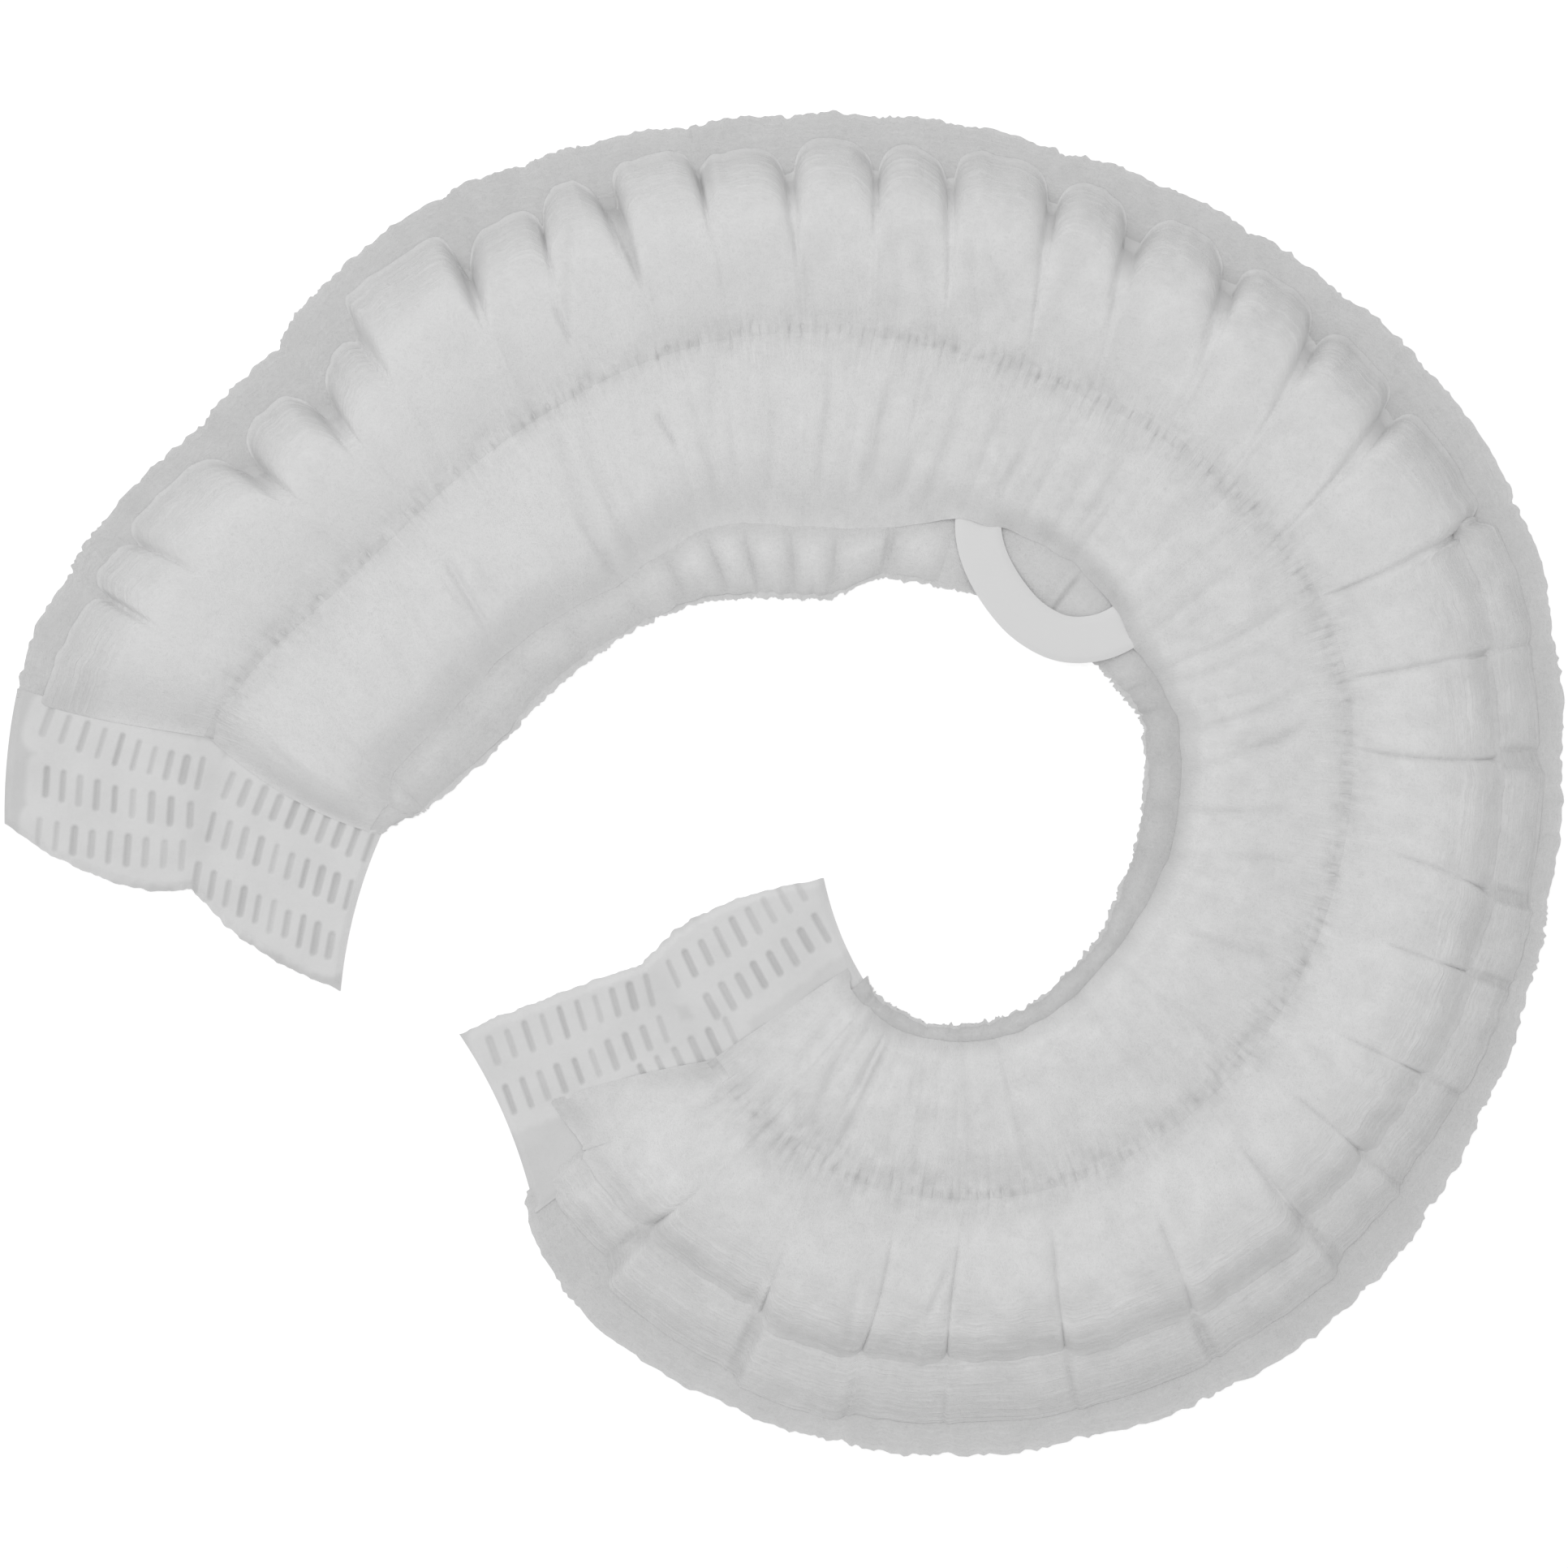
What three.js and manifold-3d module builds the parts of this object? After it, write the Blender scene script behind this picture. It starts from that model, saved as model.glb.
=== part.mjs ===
// Disposable beard net of gathered nonwoven cloth, lying flat and curled into a C.
// Millimetres, +Z up, front ply on top, origin under the middle of the object on the floor.

import * as THREE from 'three';
import { mergeVertices } from 'three/addons/utils/BufferGeometryUtils.js';
import Module from 'manifold-3d';

const wasm = await Module();
wasm.setup();

// Plan size of the strip
const stripLength = 470;         // along the elastic seam, end edge to end edge
const outerWidth = 45;           // seam to the outer edge, where it is widest
const innerWidth = 47;           // seam to the inner edge, where it is widest

// Cloth
const backThickness = 1.0;
const middleThickness = 1.0;
const frontThickness = 1.0;
const pieceGap = 0.3;            // kept between neighbouring pieces
const puffHeight = 10;           // crown of the fullest lobe above the ply's rim
const frillHeight = 6;           // crown of the inner gathers above the ply's rim
const tierHeight = 3.2;          // crown of the middle ply's own folds
const grooveHeight = 3.4;        // floor of the seam's channel above the ply's rim
const lobeNotch = 5;             // how far a crease cuts back between two lobe tips
const tierNotch = 2;             // the same on the middle ply
const edgeWave = 0.7;            // swell of the back ply's edge at each fold
const endTaper = 20;             // length over which the puffs rise from a welded end
const ledge = 1.0;               // flat step between the front ply's rim and the middle ply's folds

// Elastics
const seamWidth = 4.2;
const seamThickness = 1.2;
const puckerPitch = 7;
const puckerHeight = 0.5;
const puckerSwell = 0.3;
const bandWidth = 8;
const bandThickness = 1.0;

// Welded ends
const weldThickness = 1.4;
const weldRidge = 0.6;           // rise of the end along the seam's line
const barWidth = 1.2;
const barLength = 5.8;
const barDepth = 0.5;
const barPitch = 3.1;
const barRows = 3;

// Course of the seam: arcs in order, each a share of the strip's length and a turn in degrees
const startHeading = 97;
const arcColumns = ['share', 'turn'];
const arcs = asRecords(arcColumns, [
  [0.05, -25],
  [0.05, -30],
  [0.07, 2],
  [0.08, -16],
  [0.10, -34],
  [0.10, -21],
  [0.08, -26],
  [0.07, -34],
  [0.08, -24.5],
  [0.10, -36.5],
  [0.10, -47.5],
  [0.07, -37.5],
  [0.05, -1],
]);

// One row for each crease, from the left end round to the right one.
// seam, tip and root are places along the strip, as shares of its length: on the seam, at the
// lobes' tips and at the inner rim. lobe, tier and edge are reaches of the front, middle and back
// ply, as shares of the outer width, and frill and rim of the front and back ply, as shares of the
// inner width. Where tier is less than lobe, the middle ply ends hidden under the lobes. puff and
// ruffle are shares of the puff height and the tier height. What a row says of a fold is said of
// the fold that ends at its crease.
const foldColumns = ['seam', 'tip', 'root', 'lobe', 'tier', 'edge', 'frill', 'rim', 'puff', 'ruffle'];
const folds = asRecords(foldColumns, [
  [0.056, 0.049, 0.021, 0.64, 0.58, 0.75, 0.66, 0.71, 0.45, 0.5],
  [0.080, 0.077, 0.058, 0.66, 0.60, 0.77, 0.70, 0.81, 0.60, 0.8],
  [0.104, 0.090, 0.090, 0.69, 0.63, 0.79, 0.66, 0.83, 0.50, 1.0],
  [0.147, 0.134, 0.132, 0.72, 0.66, 0.80, 0.62, 0.84, 0.80, 0.9],
  [0.168, 0.174, 0.158, 0.68, 0.62, 0.82, 0.61, 0.82, 0.85, 1.0],
  [0.187, 0.194, 0.184, 0.66, 0.60, 0.88, 0.64, 0.84, 0.55, 0.9],
  [0.224, 0.236, 0.214, 0.80, 0.74, 0.90, 0.69, 0.86, 1.00, 0.8],
  [0.250, 0.260, 0.240, 0.72, 0.66, 0.86, 0.67, 0.89, 0.80, 0.7],
  [0.277, 0.276, 0.268, 0.75, 0.69, 0.84, 0.66, 0.94, 0.65, 1.0],
  [0.303, 0.302, 0.293, 0.74, 0.68, 0.81, 0.69, 0.97, 0.90, 1.0],
  [0.331, 0.327, 0.325, 0.70, 0.64, 0.81, 0.73, 1.00, 0.90, 1.0],
  [0.356, 0.350, 0.352, 0.73, 0.67, 0.82, 0.73, 0.99, 0.85, 1.0],
  [0.382, 0.372, 0.378, 0.73, 0.67, 0.84, 0.69, 0.88, 0.80, 0.9],
  [0.414, 0.404, 0.408, 0.76, 0.70, 0.83, 0.60, 0.86, 0.90, 0.0],
  [0.440, 0.431, 0.436, 0.75, 0.69, 0.84, 0.57, 0.83, 0.85, 0.0],
  [0.470, 0.460, 0.467, 0.75, 0.69, 0.84, 0.57, 0.80, 0.90, 0.0],
  [0.498, 0.488, 0.496, 0.75, 0.69, 0.84, 0.60, 0.81, 0.85, 0.0],
  [0.527, 0.518, 0.525, 0.73, 0.67, 0.86, 0.66, 0.80, 0.90, 0.0],
  [0.553, 0.553, 0.552, 0.73, 0.67, 0.86, 0.65, 0.79, 1.00, 0.3],
  [0.584, 0.584, 0.582, 0.60, 0.76, 0.83, 0.62, 0.75, 1.00, 0.3],
  [0.609, 0.612, 0.609, 0.58, 0.74, 0.82, 0.61, 0.74, 0.90, 0.3],
  [0.643, 0.650, 0.643, 0.60, 0.76, 0.83, 0.60, 0.73, 0.90, 0.3],
  [0.673, 0.673, 0.672, 0.62, 0.79, 0.85, 0.59, 0.72, 0.80, 0.3],
  [0.707, 0.703, 0.705, 0.64, 0.79, 0.88, 0.60, 0.71, 0.85, 0.3],
  [0.730, 0.730, 0.730, 0.62, 0.78, 0.93, 0.60, 0.68, 0.80, 0.3],
  [0.752, 0.754, 0.752, 0.62, 0.81, 0.97, 0.59, 0.67, 0.80, 0.3],
  [0.787, 0.791, 0.787, 0.68, 0.86, 0.98, 0.57, 0.64, 0.90, 0.3],
  [0.817, 0.823, 0.820, 0.67, 0.87, 0.98, 0.56, 0.63, 0.95, 0.3],
  [0.847, 0.852, 0.850, 0.64, 0.88, 1.00, 0.56, 0.62, 0.90, 0.3],
  [0.872, 0.873, 0.876, 0.66, 0.89, 1.00, 0.55, 0.61, 0.85, 0.3],
  [0.903, 0.898, 0.903, 0.68, 0.93, 1.00, 0.56, 0.62, 0.90, 0.3],
  [0.927, 0.932, 0.926, 0.62, 0.88, 1.01, 0.56, 0.62, 0.80, 0.3],
  [0.946, 0.959, 0.943, 0.62, 0.80, 0.87, 0.57, 0.64, 0.70, 0.3],
  [0.957, 0.980, 0.954, 0.70, 0.72, 0.80, 0.60, 0.64, 0.40, 0.3],
]);
const weldFold = folds.length - 2;   // the crease where the lower plies meet the right end
const lastFold = folds.length - 1;   // the front ply hangs over the right end up to here

// Corners of the welded ends, as shares of the strip's length and of the widths: the side that
// joins the cloth follows the crease table, and the free side is given here. Each half of the free
// side bulges out by a share of its own length.
const endColumns = [
  'outerAlong', 'outerReach', 'seamAlong', 'innerAlong', 'innerReach', 'outerBulge', 'innerBulge',
];
const [leftEnd, rightEnd] = asRecords(endColumns, [
  [0.020, 0.71, 0.000, -0.044, 0.50, 0.12, 0.08],
  [1.019, 0.72, 1.000, 0.986, 0.73, 0.02, 0.12],
]);

// Course of the loose loop of the flat elastic, from one tucked end to the other
const loopColumns = ['along', 'inward'];
const loop = asRecords(loopColumns, [
  [0.413, 0.44],
  [0.418, 0.61],
  [0.427, 0.71],
  [0.444, 0.80],
  [0.465, 0.84],
  [0.489, 0.82],
  [0.505, 0.74],
  [0.512, 0.64],
  [0.513, 0.47],
]);
const loopStart = 0.375;         // the front ply's rim is lifted over the loop between these
const loopEnd = 0.545;
const loopRamp = 0.02;

// Cross-section of the front ply. Rows run from the seam's channel to the rim, as shares of the
// reach, with the height of the crown and of the crease beside it as shares of the crown's height.
const rowColumns = ['reach', 'crown', 'crease'];
const lobeRows = asRecords(rowColumns, [
  [0.00, 0.00, 0.00],
  [0.24, 0.62, 0.40],
  [0.54, 0.95, 0.50],
  [0.80, 1.00, 0.30],
  [0.95, 0.66, 0.08],
  [1.00, 0.00, 0.00],
]);
const frillRows = asRecords(rowColumns, [
  [0.00, 0.00, 0.00],
  [0.34, 0.55, 0.30],
  [0.70, 1.00, 0.62],
  [0.93, 0.80, 0.40],
  [1.00, 0.00, 0.00],
]);
const lobePlaces = [0, 0.15, 0.5, 0.85];   // the grid's columns across one fold
const frillPlaces = [0, 0.25, 0.5, 0.75];
const maxSlant = 2.2;            // most that a steep wall is thickened along the vertical

// Folds of the middle ply beyond the front ply
const tierPlaces = [0, 0.5];     // the grid's columns across one fold
const tierCrest = 0.55;          // place of the crest between a fold's foot and its edge
const tierCrease = 0.35;         // height of a crease, as a share of the crest's
const ruffleReach = 0.8;         // share of the back ply's inner margin that the ruffles cover

const edgeSteps = 3;             // points of the back ply's edge on one fold
const loopSteps = 28;            // points along the loop

const backTop = backThickness;
const middleBottom = backTop + pieceGap;
const middleTop = middleBottom + middleThickness;
const frontRimBottom = middleTop + pieceGap;
const frontRimTop = frontRimBottom + frontThickness;
const loopLift = bandThickness + pieceGap;
const channelHalf = seamWidth / 2 + puckerSwell + pieceGap;

function asRecords(columns, rows) {
  return rows.map((row) => Object.fromEntries(columns.map((name, i) => [name, row[i]])));
}

function lerp(a, b, x) {
  return a + (b - a) * x;
}

function smooth(x) {
  const c = Math.min(Math.max(x, 0), 1);
  return c * c * (3 - 2 * c);
}

// Start point, heading and length of each arc of the seam
function layArcs() {
  const laid = [];
  let point = new THREE.Vector2(0, 0);
  let heading = THREE.MathUtils.degToRad(startHeading);
  let start = 0;
  for (const { share, turn } of arcs) {
    laid.push({ start, share, point, heading, turn: THREE.MathUtils.degToRad(turn) });
    const end = travel(laid.at(-1), share);
    point = end.point;
    heading = end.heading;
    start += share;
  }
  return laid;
}

// Point and heading after a share of the strip's length along one arc
function travel(arc, share) {
  const turned = arc.turn * (share / arc.share);
  const length = share * stripLength;
  const chord = turned === 0 ? length : (2 * length / turned) * Math.sin(turned / 2);
  const direction = arc.heading + turned / 2;
  const point = new THREE.Vector2(Math.cos(direction), Math.sin(direction)).multiplyScalar(chord);
  return { point: point.add(arc.point), heading: arc.heading + turned };
}

const laidArcs = layArcs();

// Point at a place along the strip and a distance across it, outwards positive.
// Before the start and past the end the seam runs on straight.
function stripPoint(along, across) {
  const inside = Math.min(Math.max(along, 0), 1);
  const arc = laidArcs.findLast((a) => a.start <= inside);
  const { point, heading } = travel(arc, inside - arc.start);
  const beyond = (along - inside) * stripLength;
  return new THREE.Vector2(
    point.x + beyond * Math.cos(heading) - across * Math.sin(heading),
    point.y + beyond * Math.sin(heading) + across * Math.cos(heading),
  );
}

// Value of a column at a fold coordinate, straight between creases
function foldValue(name, fold) {
  const k = Math.min(Math.floor(fold), folds.length - 2);
  return lerp(folds[k][name], folds[k + 1][name], fold - k);
}

// Value of a column for the fold that the coordinate lies in, or the mean of both at a crease
function ownValue(name, fold) {
  const k = Math.min(Math.floor(fold), folds.length - 2);
  const own = folds[k + 1][name];
  return fold === k ? (folds[k][name] + own) / 2 : own;
}

// Greater of the two neighbouring folds' values at a crease, the fold's own value inside it
function greaterValue(name, fold) {
  const k = Math.min(Math.floor(fold), folds.length - 2);
  const own = folds[k + 1][name];
  return fold === k ? Math.max(folds[k][name], own) : own;
}

// Point of the cloth at a fold coordinate and a distance across, with the fold's lean
function clothPoint(fold, across) {
  const name = across > 0 ? 'tip' : 'root';
  const reach = across > 0 ? foldValue('lobe', fold) * outerWidth : foldValue('frill', fold) * innerWidth;
  const lean = Math.min(Math.abs(across) / reach, 1);
  const along = lerp(foldValue('seam', fold), foldValue(name, fold), lean);
  return stripPoint(along, across);
}

// 0 on a crease and 1 on the middle of a fold
function fullness(fold) {
  const side = Math.abs(2 * (fold - Math.floor(fold)) - 1);
  return 1 - side ** 3;
}

function frontReach(fold, outwards) {
  if (!outwards) return foldValue('frill', fold) * innerWidth;
  return ownValue('lobe', fold) * outerWidth - lobeNotch * (1 - fullness(fold));
}

// Share of the full height that the puffs have at a place along the strip
function taper(fold) {
  const along = foldValue('seam', fold);
  const fromStart = (along - folds[0].seam) * stripLength;
  const fromEnd = (folds[lastFold].seam - along) * stripLength;
  return smooth(fromStart / endTaper) * smooth(fromEnd / endTaper);
}

// Share of the lift that the inner rim has over the loop of elastic
function liftShare(fold) {
  const along = foldValue('root', fold);
  return smooth((along - loopStart) / loopRamp + 1) * smooth((loopEnd - along) / loopRamp + 1);
}

// Closed solid between a top and a bottom grid of points
function gridSolid(tops, bottoms) {
  const columns = tops.length;
  const rows = tops[0].length;
  const positions = [...tops.flat(), ...bottoms.flat()].flatMap((p) => [p.x, p.y, p.z]);
  const top = (i, j) => i * rows + j;
  const bottom = (i, j) => columns * rows + i * rows + j;
  const index = [];
  const quad = (a, b, c, d) => index.push(a, b, c, a, c, d);
  for (let i = 0; i < columns - 1; i += 1) {
    for (let j = 0; j < rows - 1; j += 1) {
      quad(top(i, j), top(i + 1, j), top(i + 1, j + 1), top(i, j + 1));
      quad(bottom(i, j), bottom(i, j + 1), bottom(i + 1, j + 1), bottom(i + 1, j));
    }
    quad(top(i, 0), bottom(i, 0), bottom(i + 1, 0), top(i + 1, 0));
    quad(top(i, rows - 1), top(i + 1, rows - 1), bottom(i + 1, rows - 1), bottom(i, rows - 1));
  }
  for (let j = 0; j < rows - 1; j += 1) {
    quad(top(0, j), top(0, j + 1), bottom(0, j + 1), bottom(0, j));
    quad(top(columns - 1, j), bottom(columns - 1, j), bottom(columns - 1, j + 1), top(columns - 1, j + 1));
  }
  return facingOut(positions, index);
}

// Geometry with its faces turned outwards
function facingOut(positions, index) {
  let volume = 0;
  const at = (i) => new THREE.Vector3(positions[3 * i], positions[3 * i + 1], positions[3 * i + 2]);
  for (let i = 0; i < index.length; i += 3) {
    volume += at(index[i]).dot(at(index[i + 1]).cross(at(index[i + 2])));
  }
  const turned = volume < 0 ? index.toReversed() : index;
  const geometry = new THREE.BufferGeometry();
  geometry.setAttribute('position', new THREE.Float32BufferAttribute(positions, 3));
  geometry.setIndex(turned);
  geometry.computeVertexNormals();
  return geometry;
}

// Points along a crease across the whole cloth, from the outer edge to the inner rim
function creaseCourse(crease) {
  const { edge, lobe, frill, rim } = folds[crease];
  const across = [edge * outerWidth, lobe * outerWidth, 0, -frill * innerWidth, -rim * innerWidth];
  return across.map((distance) => clothPoint(crease, distance));
}

// Lowest ply: a flat sheet whose edge swells a little at each fold
function backPly() {
  const steps = weldFold * edgeSteps;
  const outer = [];
  const inner = [];
  for (let i = 0; i <= steps; i += 1) {
    const fold = i / edgeSteps;
    outer.push(clothPoint(fold, foldValue('edge', fold) * outerWidth + edgeWave * fullness(fold)));
    inner.push(clothPoint(fold, -foldValue('rim', fold) * innerWidth));
  }
  const nearEnd = creaseCourse(0).slice(1, -1).toReversed();
  const farEnd = creaseCourse(weldFold).slice(1, -1);
  const outline = new THREE.Shape([...outer, ...farEnd, ...inner.toReversed(), ...nearEnd]);
  return new THREE.ExtrudeGeometry(outline, { depth: backThickness, bevelEnabled: false, steps: 1 });
}

// Middle ply: flat under the front ply, with a low roll of its own folds beyond it on both sides
function middlePly() {
  const tops = [];
  const bottoms = [];
  for (const fold of foldCoordinates(weldFold, tierPlaces)) {
    const full = fullness(fold);
    const outerEnd = ownValue('tier', fold) * outerWidth - tierNotch * (1 - full);
    const pastLobe = greaterValue('lobe', fold) * outerWidth + ledge;
    const outerStart = Math.min(pastLobe, outerEnd - ledge);
    const innerStart = foldValue('frill', fold) * innerWidth + ledge / 2;
    const innerTip = lerp(foldValue('frill', fold), foldValue('rim', fold), ruffleReach) * innerWidth;
    const innerEnd = Math.max(innerTip, innerStart + ledge / 2);
    const swell = lerp(tierCrease, 1, full) * taper(fold);
    const outerRoom = Math.max(outerEnd - pastLobe, 0) / 2;
    const outerCrest = Math.min(tierHeight, outerRoom) * swell;
    const innerRoom = (innerEnd - innerStart) / 2;
    const innerCrest = Math.min(tierHeight * ownValue('ruffle', fold), innerRoom) * swell;
    const section = [
      [-innerEnd, 0],
      [-lerp(innerStart, innerEnd, tierCrest), innerCrest],
      [-innerStart, 0],
      [0, 0],
      [outerStart, 0],
      [lerp(outerStart, outerEnd, tierCrest), outerCrest],
      [outerEnd, 0],
    ];
    const column = section.map(([across, rise]) => placed(fold, across, middleTop + rise));
    tops.push(column);
    bottoms.push(column.map((p) => new THREE.Vector3(p.x, p.y, p.z - middleThickness)));
  }
  return gridSolid(tops, bottoms);
}

function placed(fold, across, z) {
  const point = clothPoint(fold, across);
  return new THREE.Vector3(point.x, point.y, z);
}

// Fold coordinates of a grid's columns, up to and with the last crease
function foldCoordinates(last, places) {
  const coordinates = [];
  for (let k = 0; k < last; k += 1) {
    for (const place of places) coordinates.push(k + place);
  }
  return [...coordinates, last];
}

// Front ply: lobes outwards and finer gathers inwards, hollow underneath, with a channel between
// them for the seam's elastic
function frontPly() {
  const tops = [];
  const lobeFolds = foldCoordinates(lastFold, lobePlaces);
  const frillFolds = foldCoordinates(lastFold, frillPlaces);
  lobeFolds.forEach((fold, i) => {
    const place = i % frillPlaces.length;
    const inward = frillRows.toReversed().map((row) => frillPoint(fold, frillFolds[i], row, place));
    const outward = lobeRows.map((row) => lobePoint(fold, row));
    tops.push([...inward, ...outward]);
  });
  const bottoms = tops.map((column, i) => column.map((point, j) => under(tops, i, j)));
  return gridSolid(tops, bottoms);
}

function lobePoint(fold, row) {
  const reach = frontReach(fold, true);
  const across = lerp(channelHalf, reach, row.reach);
  const full = lerp(row.crease, row.crown, fullness(fold));
  const rise = grooveHeight * (1 - row.reach) + puffHeight * ownValue('puff', fold) * full;
  const point = placed(fold, across, frontRimTop + taper(fold) * rise);
  point.floor = frontRimBottom;
  return point;
}

function frillPoint(seamSideFold, rimSideFold, row, place) {
  const fold = lerp(seamSideFold, rimSideFold, row.reach);
  const across = -lerp(channelHalf, frontReach(fold, false), row.reach);
  const pleat = place % 2 === 0 ? row.crease : row.crown;
  const full = place === 2 ? (row.crease + row.crown) / 2 : pleat;
  const lift = loopLift * liftShare(fold) * row.reach;
  const rise = grooveHeight * (1 - row.reach) + frillHeight * full;
  const point = placed(fold, across, frontRimTop + lift + taper(fold) * rise);
  point.floor = frontRimBottom + lift;
  return point;
}

// Point of the cloth's underside below a top point, further down where the cloth is steep
function under(tops, i, j) {
  const point = tops[i][j];
  const alongA = tops[Math.max(i - 1, 0)][j];
  const alongB = tops[Math.min(i + 1, tops.length - 1)][j];
  const acrossA = tops[i][Math.max(j - 1, 0)];
  const acrossB = tops[i][Math.min(j + 1, tops[i].length - 1)];
  const slope = Math.hypot(slopeOf(alongA, alongB), slopeOf(acrossA, acrossB));
  const slant = Math.min(Math.hypot(1, slope), maxSlant);
  const z = Math.max(point.z - frontThickness * slant, point.floor);
  return new THREE.Vector3(point.x, point.y, z);
}

function slopeOf(a, b) {
  return Math.abs(b.z - a.z) / Math.hypot(b.x - a.x, b.y - a.y);
}

// Elastic in the seam's channel, drawn up into puckers
function seamElastic() {
  const first = folds[0].seam + pieceGap / stripLength;
  const length = (folds[lastFold].seam - first) * stripLength;
  const steps = 2 * Math.round(length / puckerPitch);
  const tops = [];
  const bottoms = [];
  for (let i = 0; i <= steps; i += 1) {
    const along = lerp(first, folds[lastFold].seam, i / steps);
    const crest = i % 2;
    const half = seamWidth / 2 + puckerSwell * crest;
    const floor = frontRimTop + taper(foldAtSeam(along)) * grooveHeight + pieceGap;
    const level = floor + seamThickness + puckerHeight * crest;
    const sides = [-half, half].map((across) => stripPoint(along, across));
    tops.push(sides.map((p) => new THREE.Vector3(p.x, p.y, level)));
    bottoms.push(sides.map((p) => new THREE.Vector3(p.x, p.y, floor)));
  }
  return gridSolid(tops, bottoms);
}

function foldAtSeam(along) {
  const k = Math.max(folds.findLastIndex((row) => row.seam <= along), 0);
  const start = Math.min(k, folds.length - 2);
  return start + (along - folds[start].seam) / (folds[start + 1].seam - folds[start].seam);
}

// Loose loop of flat elastic, tucked under the front ply at both ends
function headElastic() {
  const points = loop.map(({ along, inward }) => {
    const p = stripPoint(along, -inward * innerWidth);
    return new THREE.Vector3(p.x, p.y, 0);
  });
  const curve = new THREE.CatmullRomCurve3(points, false, 'centripetal');
  const floor = middleTop + pieceGap;
  const tops = [];
  const bottoms = [];
  for (let i = 0; i <= loopSteps; i += 1) {
    const centre = curve.getPointAt(i / loopSteps);
    const tangent = curve.getTangentAt(i / loopSteps);
    const side = new THREE.Vector3(-tangent.y, tangent.x, 0).multiplyScalar(bandWidth / 2);
    const edges = [centre.clone().sub(side), centre.clone().add(side)];
    tops.push(edges.map((p) => new THREE.Vector3(p.x, p.y, floor + bandThickness)));
    bottoms.push(edges.map((p) => new THREE.Vector3(p.x, p.y, floor)));
  }
  return gridSolid(tops, bottoms);
}

// Point at a share of the way along a course of points
function alongCourse(points, share) {
  const lengths = points.slice(1).map((p, i) => p.distanceTo(points[i]));
  let left = share * lengths.reduce((sum, length) => sum + length);
  const i = lengths.findIndex((length, k) => {
    if (left <= length || k === lengths.length - 1) return true;
    left -= length;
    return false;
  });
  return points[i].clone().lerp(points[i + 1], left / lengths[i]);
}

// The two halves of a welded end, each with its free and its joined side as courses of points
function weldHalves(end, crease) {
  const corners = [
    stripPoint(end.outerAlong, end.outerReach * outerWidth),
    stripPoint(end.seamAlong, 0),
    stripPoint(end.innerAlong, -end.innerReach * innerWidth),
  ];
  const course = creaseCourse(crease);
  return [0, 1].map((half) => {
    const side = corners[half + 1].clone().sub(corners[half]);
    const bulge = side.length() * (half === 0 ? end.outerBulge : end.innerBulge);
    const middle = corners[half].clone().addScaledVector(side, 0.5);
    const away = middle.clone().sub(course[2 * half + 1]).setLength(bulge);
    const free = [corners[half], middle.add(away), corners[half + 1]];
    const joined = course.slice(2 * half, 2 * half + 3).map((point, i) => {
      const facing = alongCourse(free, i / 2);
      return point.clone().lerp(facing, pieceGap / point.distanceTo(facing));
    });
    return { free, joined };
  });
}

// Welded end: a thin fused plate with a low ridge on the seam's line and rows of pressed bars
function weldedEnd(end, crease) {
  const halves = weldHalves(end, crease);
  const stations = [0, 0.5, 1];
  const columns = halves.flatMap(({ free, joined }, half) => {
    return stations.slice(half).map((x) => {
      const rise = weldRidge * (half === 0 ? x : 1 - x);
      return [alongCourse(free, x), joined[2 * x]].map((p) => new THREE.Vector3(p.x, p.y, rise));
    });
  });
  const raised = (p) => new THREE.Vector3(p.x, p.y, p.z + weldThickness);
  let solid = toManifold(gridSolid(columns.map((column) => column.map(raised)), columns));
  halves.forEach(({ free, joined }, half) => {
    const topAt = (x) => weldThickness + weldRidge * (half === 0 ? x : 1 - x);
    for (const cutter of pressedBars(free, joined, topAt)) solid = solid.subtract(cutter);
  });
  return fromManifold(solid);
}

// Cutters for the bars of one half, in rows between its free and its joined side
function pressedBars(free, joined, topAt) {
  const count = Math.floor(free[0].distanceTo(free[2]) / barPitch) - 1;
  const cutters = [];
  for (let row = 0; row < barRows; row += 1) {
    for (let i = 1; i <= count; i += 1) {
      const x = i / (count + 1);
      const start = alongCourse(free, x);
      const end = alongCourse(joined, x);
      const centre = start.clone().lerp(end, (row + 0.5) / barRows);
      const bar = new THREE.BoxGeometry(barLength, barWidth, 2 * barDepth);
      bar.rotateZ(Math.atan2(end.y - start.y, end.x - start.x));
      bar.translate(centre.x, centre.y, topAt(x));
      cutters.push(toManifold(bar));
    }
  }
  return cutters;
}

function toManifold(geometry) {
  const bare = geometry.clone();
  bare.deleteAttribute('normal');
  bare.deleteAttribute('uv');
  const merged = mergeVertices(bare);
  const vertProperties = Float32Array.from(merged.attributes.position.array);
  const triVerts = Uint32Array.from(merged.index.array);
  return new wasm.Manifold(new wasm.Mesh({ numProp: 3, vertProperties, triVerts }));
}

function fromManifold(solid) {
  const mesh = solid.getMesh();
  const geometry = new THREE.BufferGeometry();
  geometry.setAttribute('position', new THREE.BufferAttribute(Float32Array.from(mesh.vertProperties), 3));
  geometry.setIndex(new THREE.BufferAttribute(Uint32Array.from(mesh.triVerts), 1));
  geometry.computeVertexNormals();
  return geometry;
}

function piece(name, geometry, color, roughness) {
  const material = new THREE.MeshStandardMaterial({ color, roughness, metalness: 0 });
  const mesh = new THREE.Mesh(geometry, material);
  mesh.name = name;
  return mesh;
}

const clothColor = 0xd2d2d2;
const lowerClothColor = 0xc6c6c6;
const elasticColor = 0xd6d6d6;
const weldColor = 0xcccccc;

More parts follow.
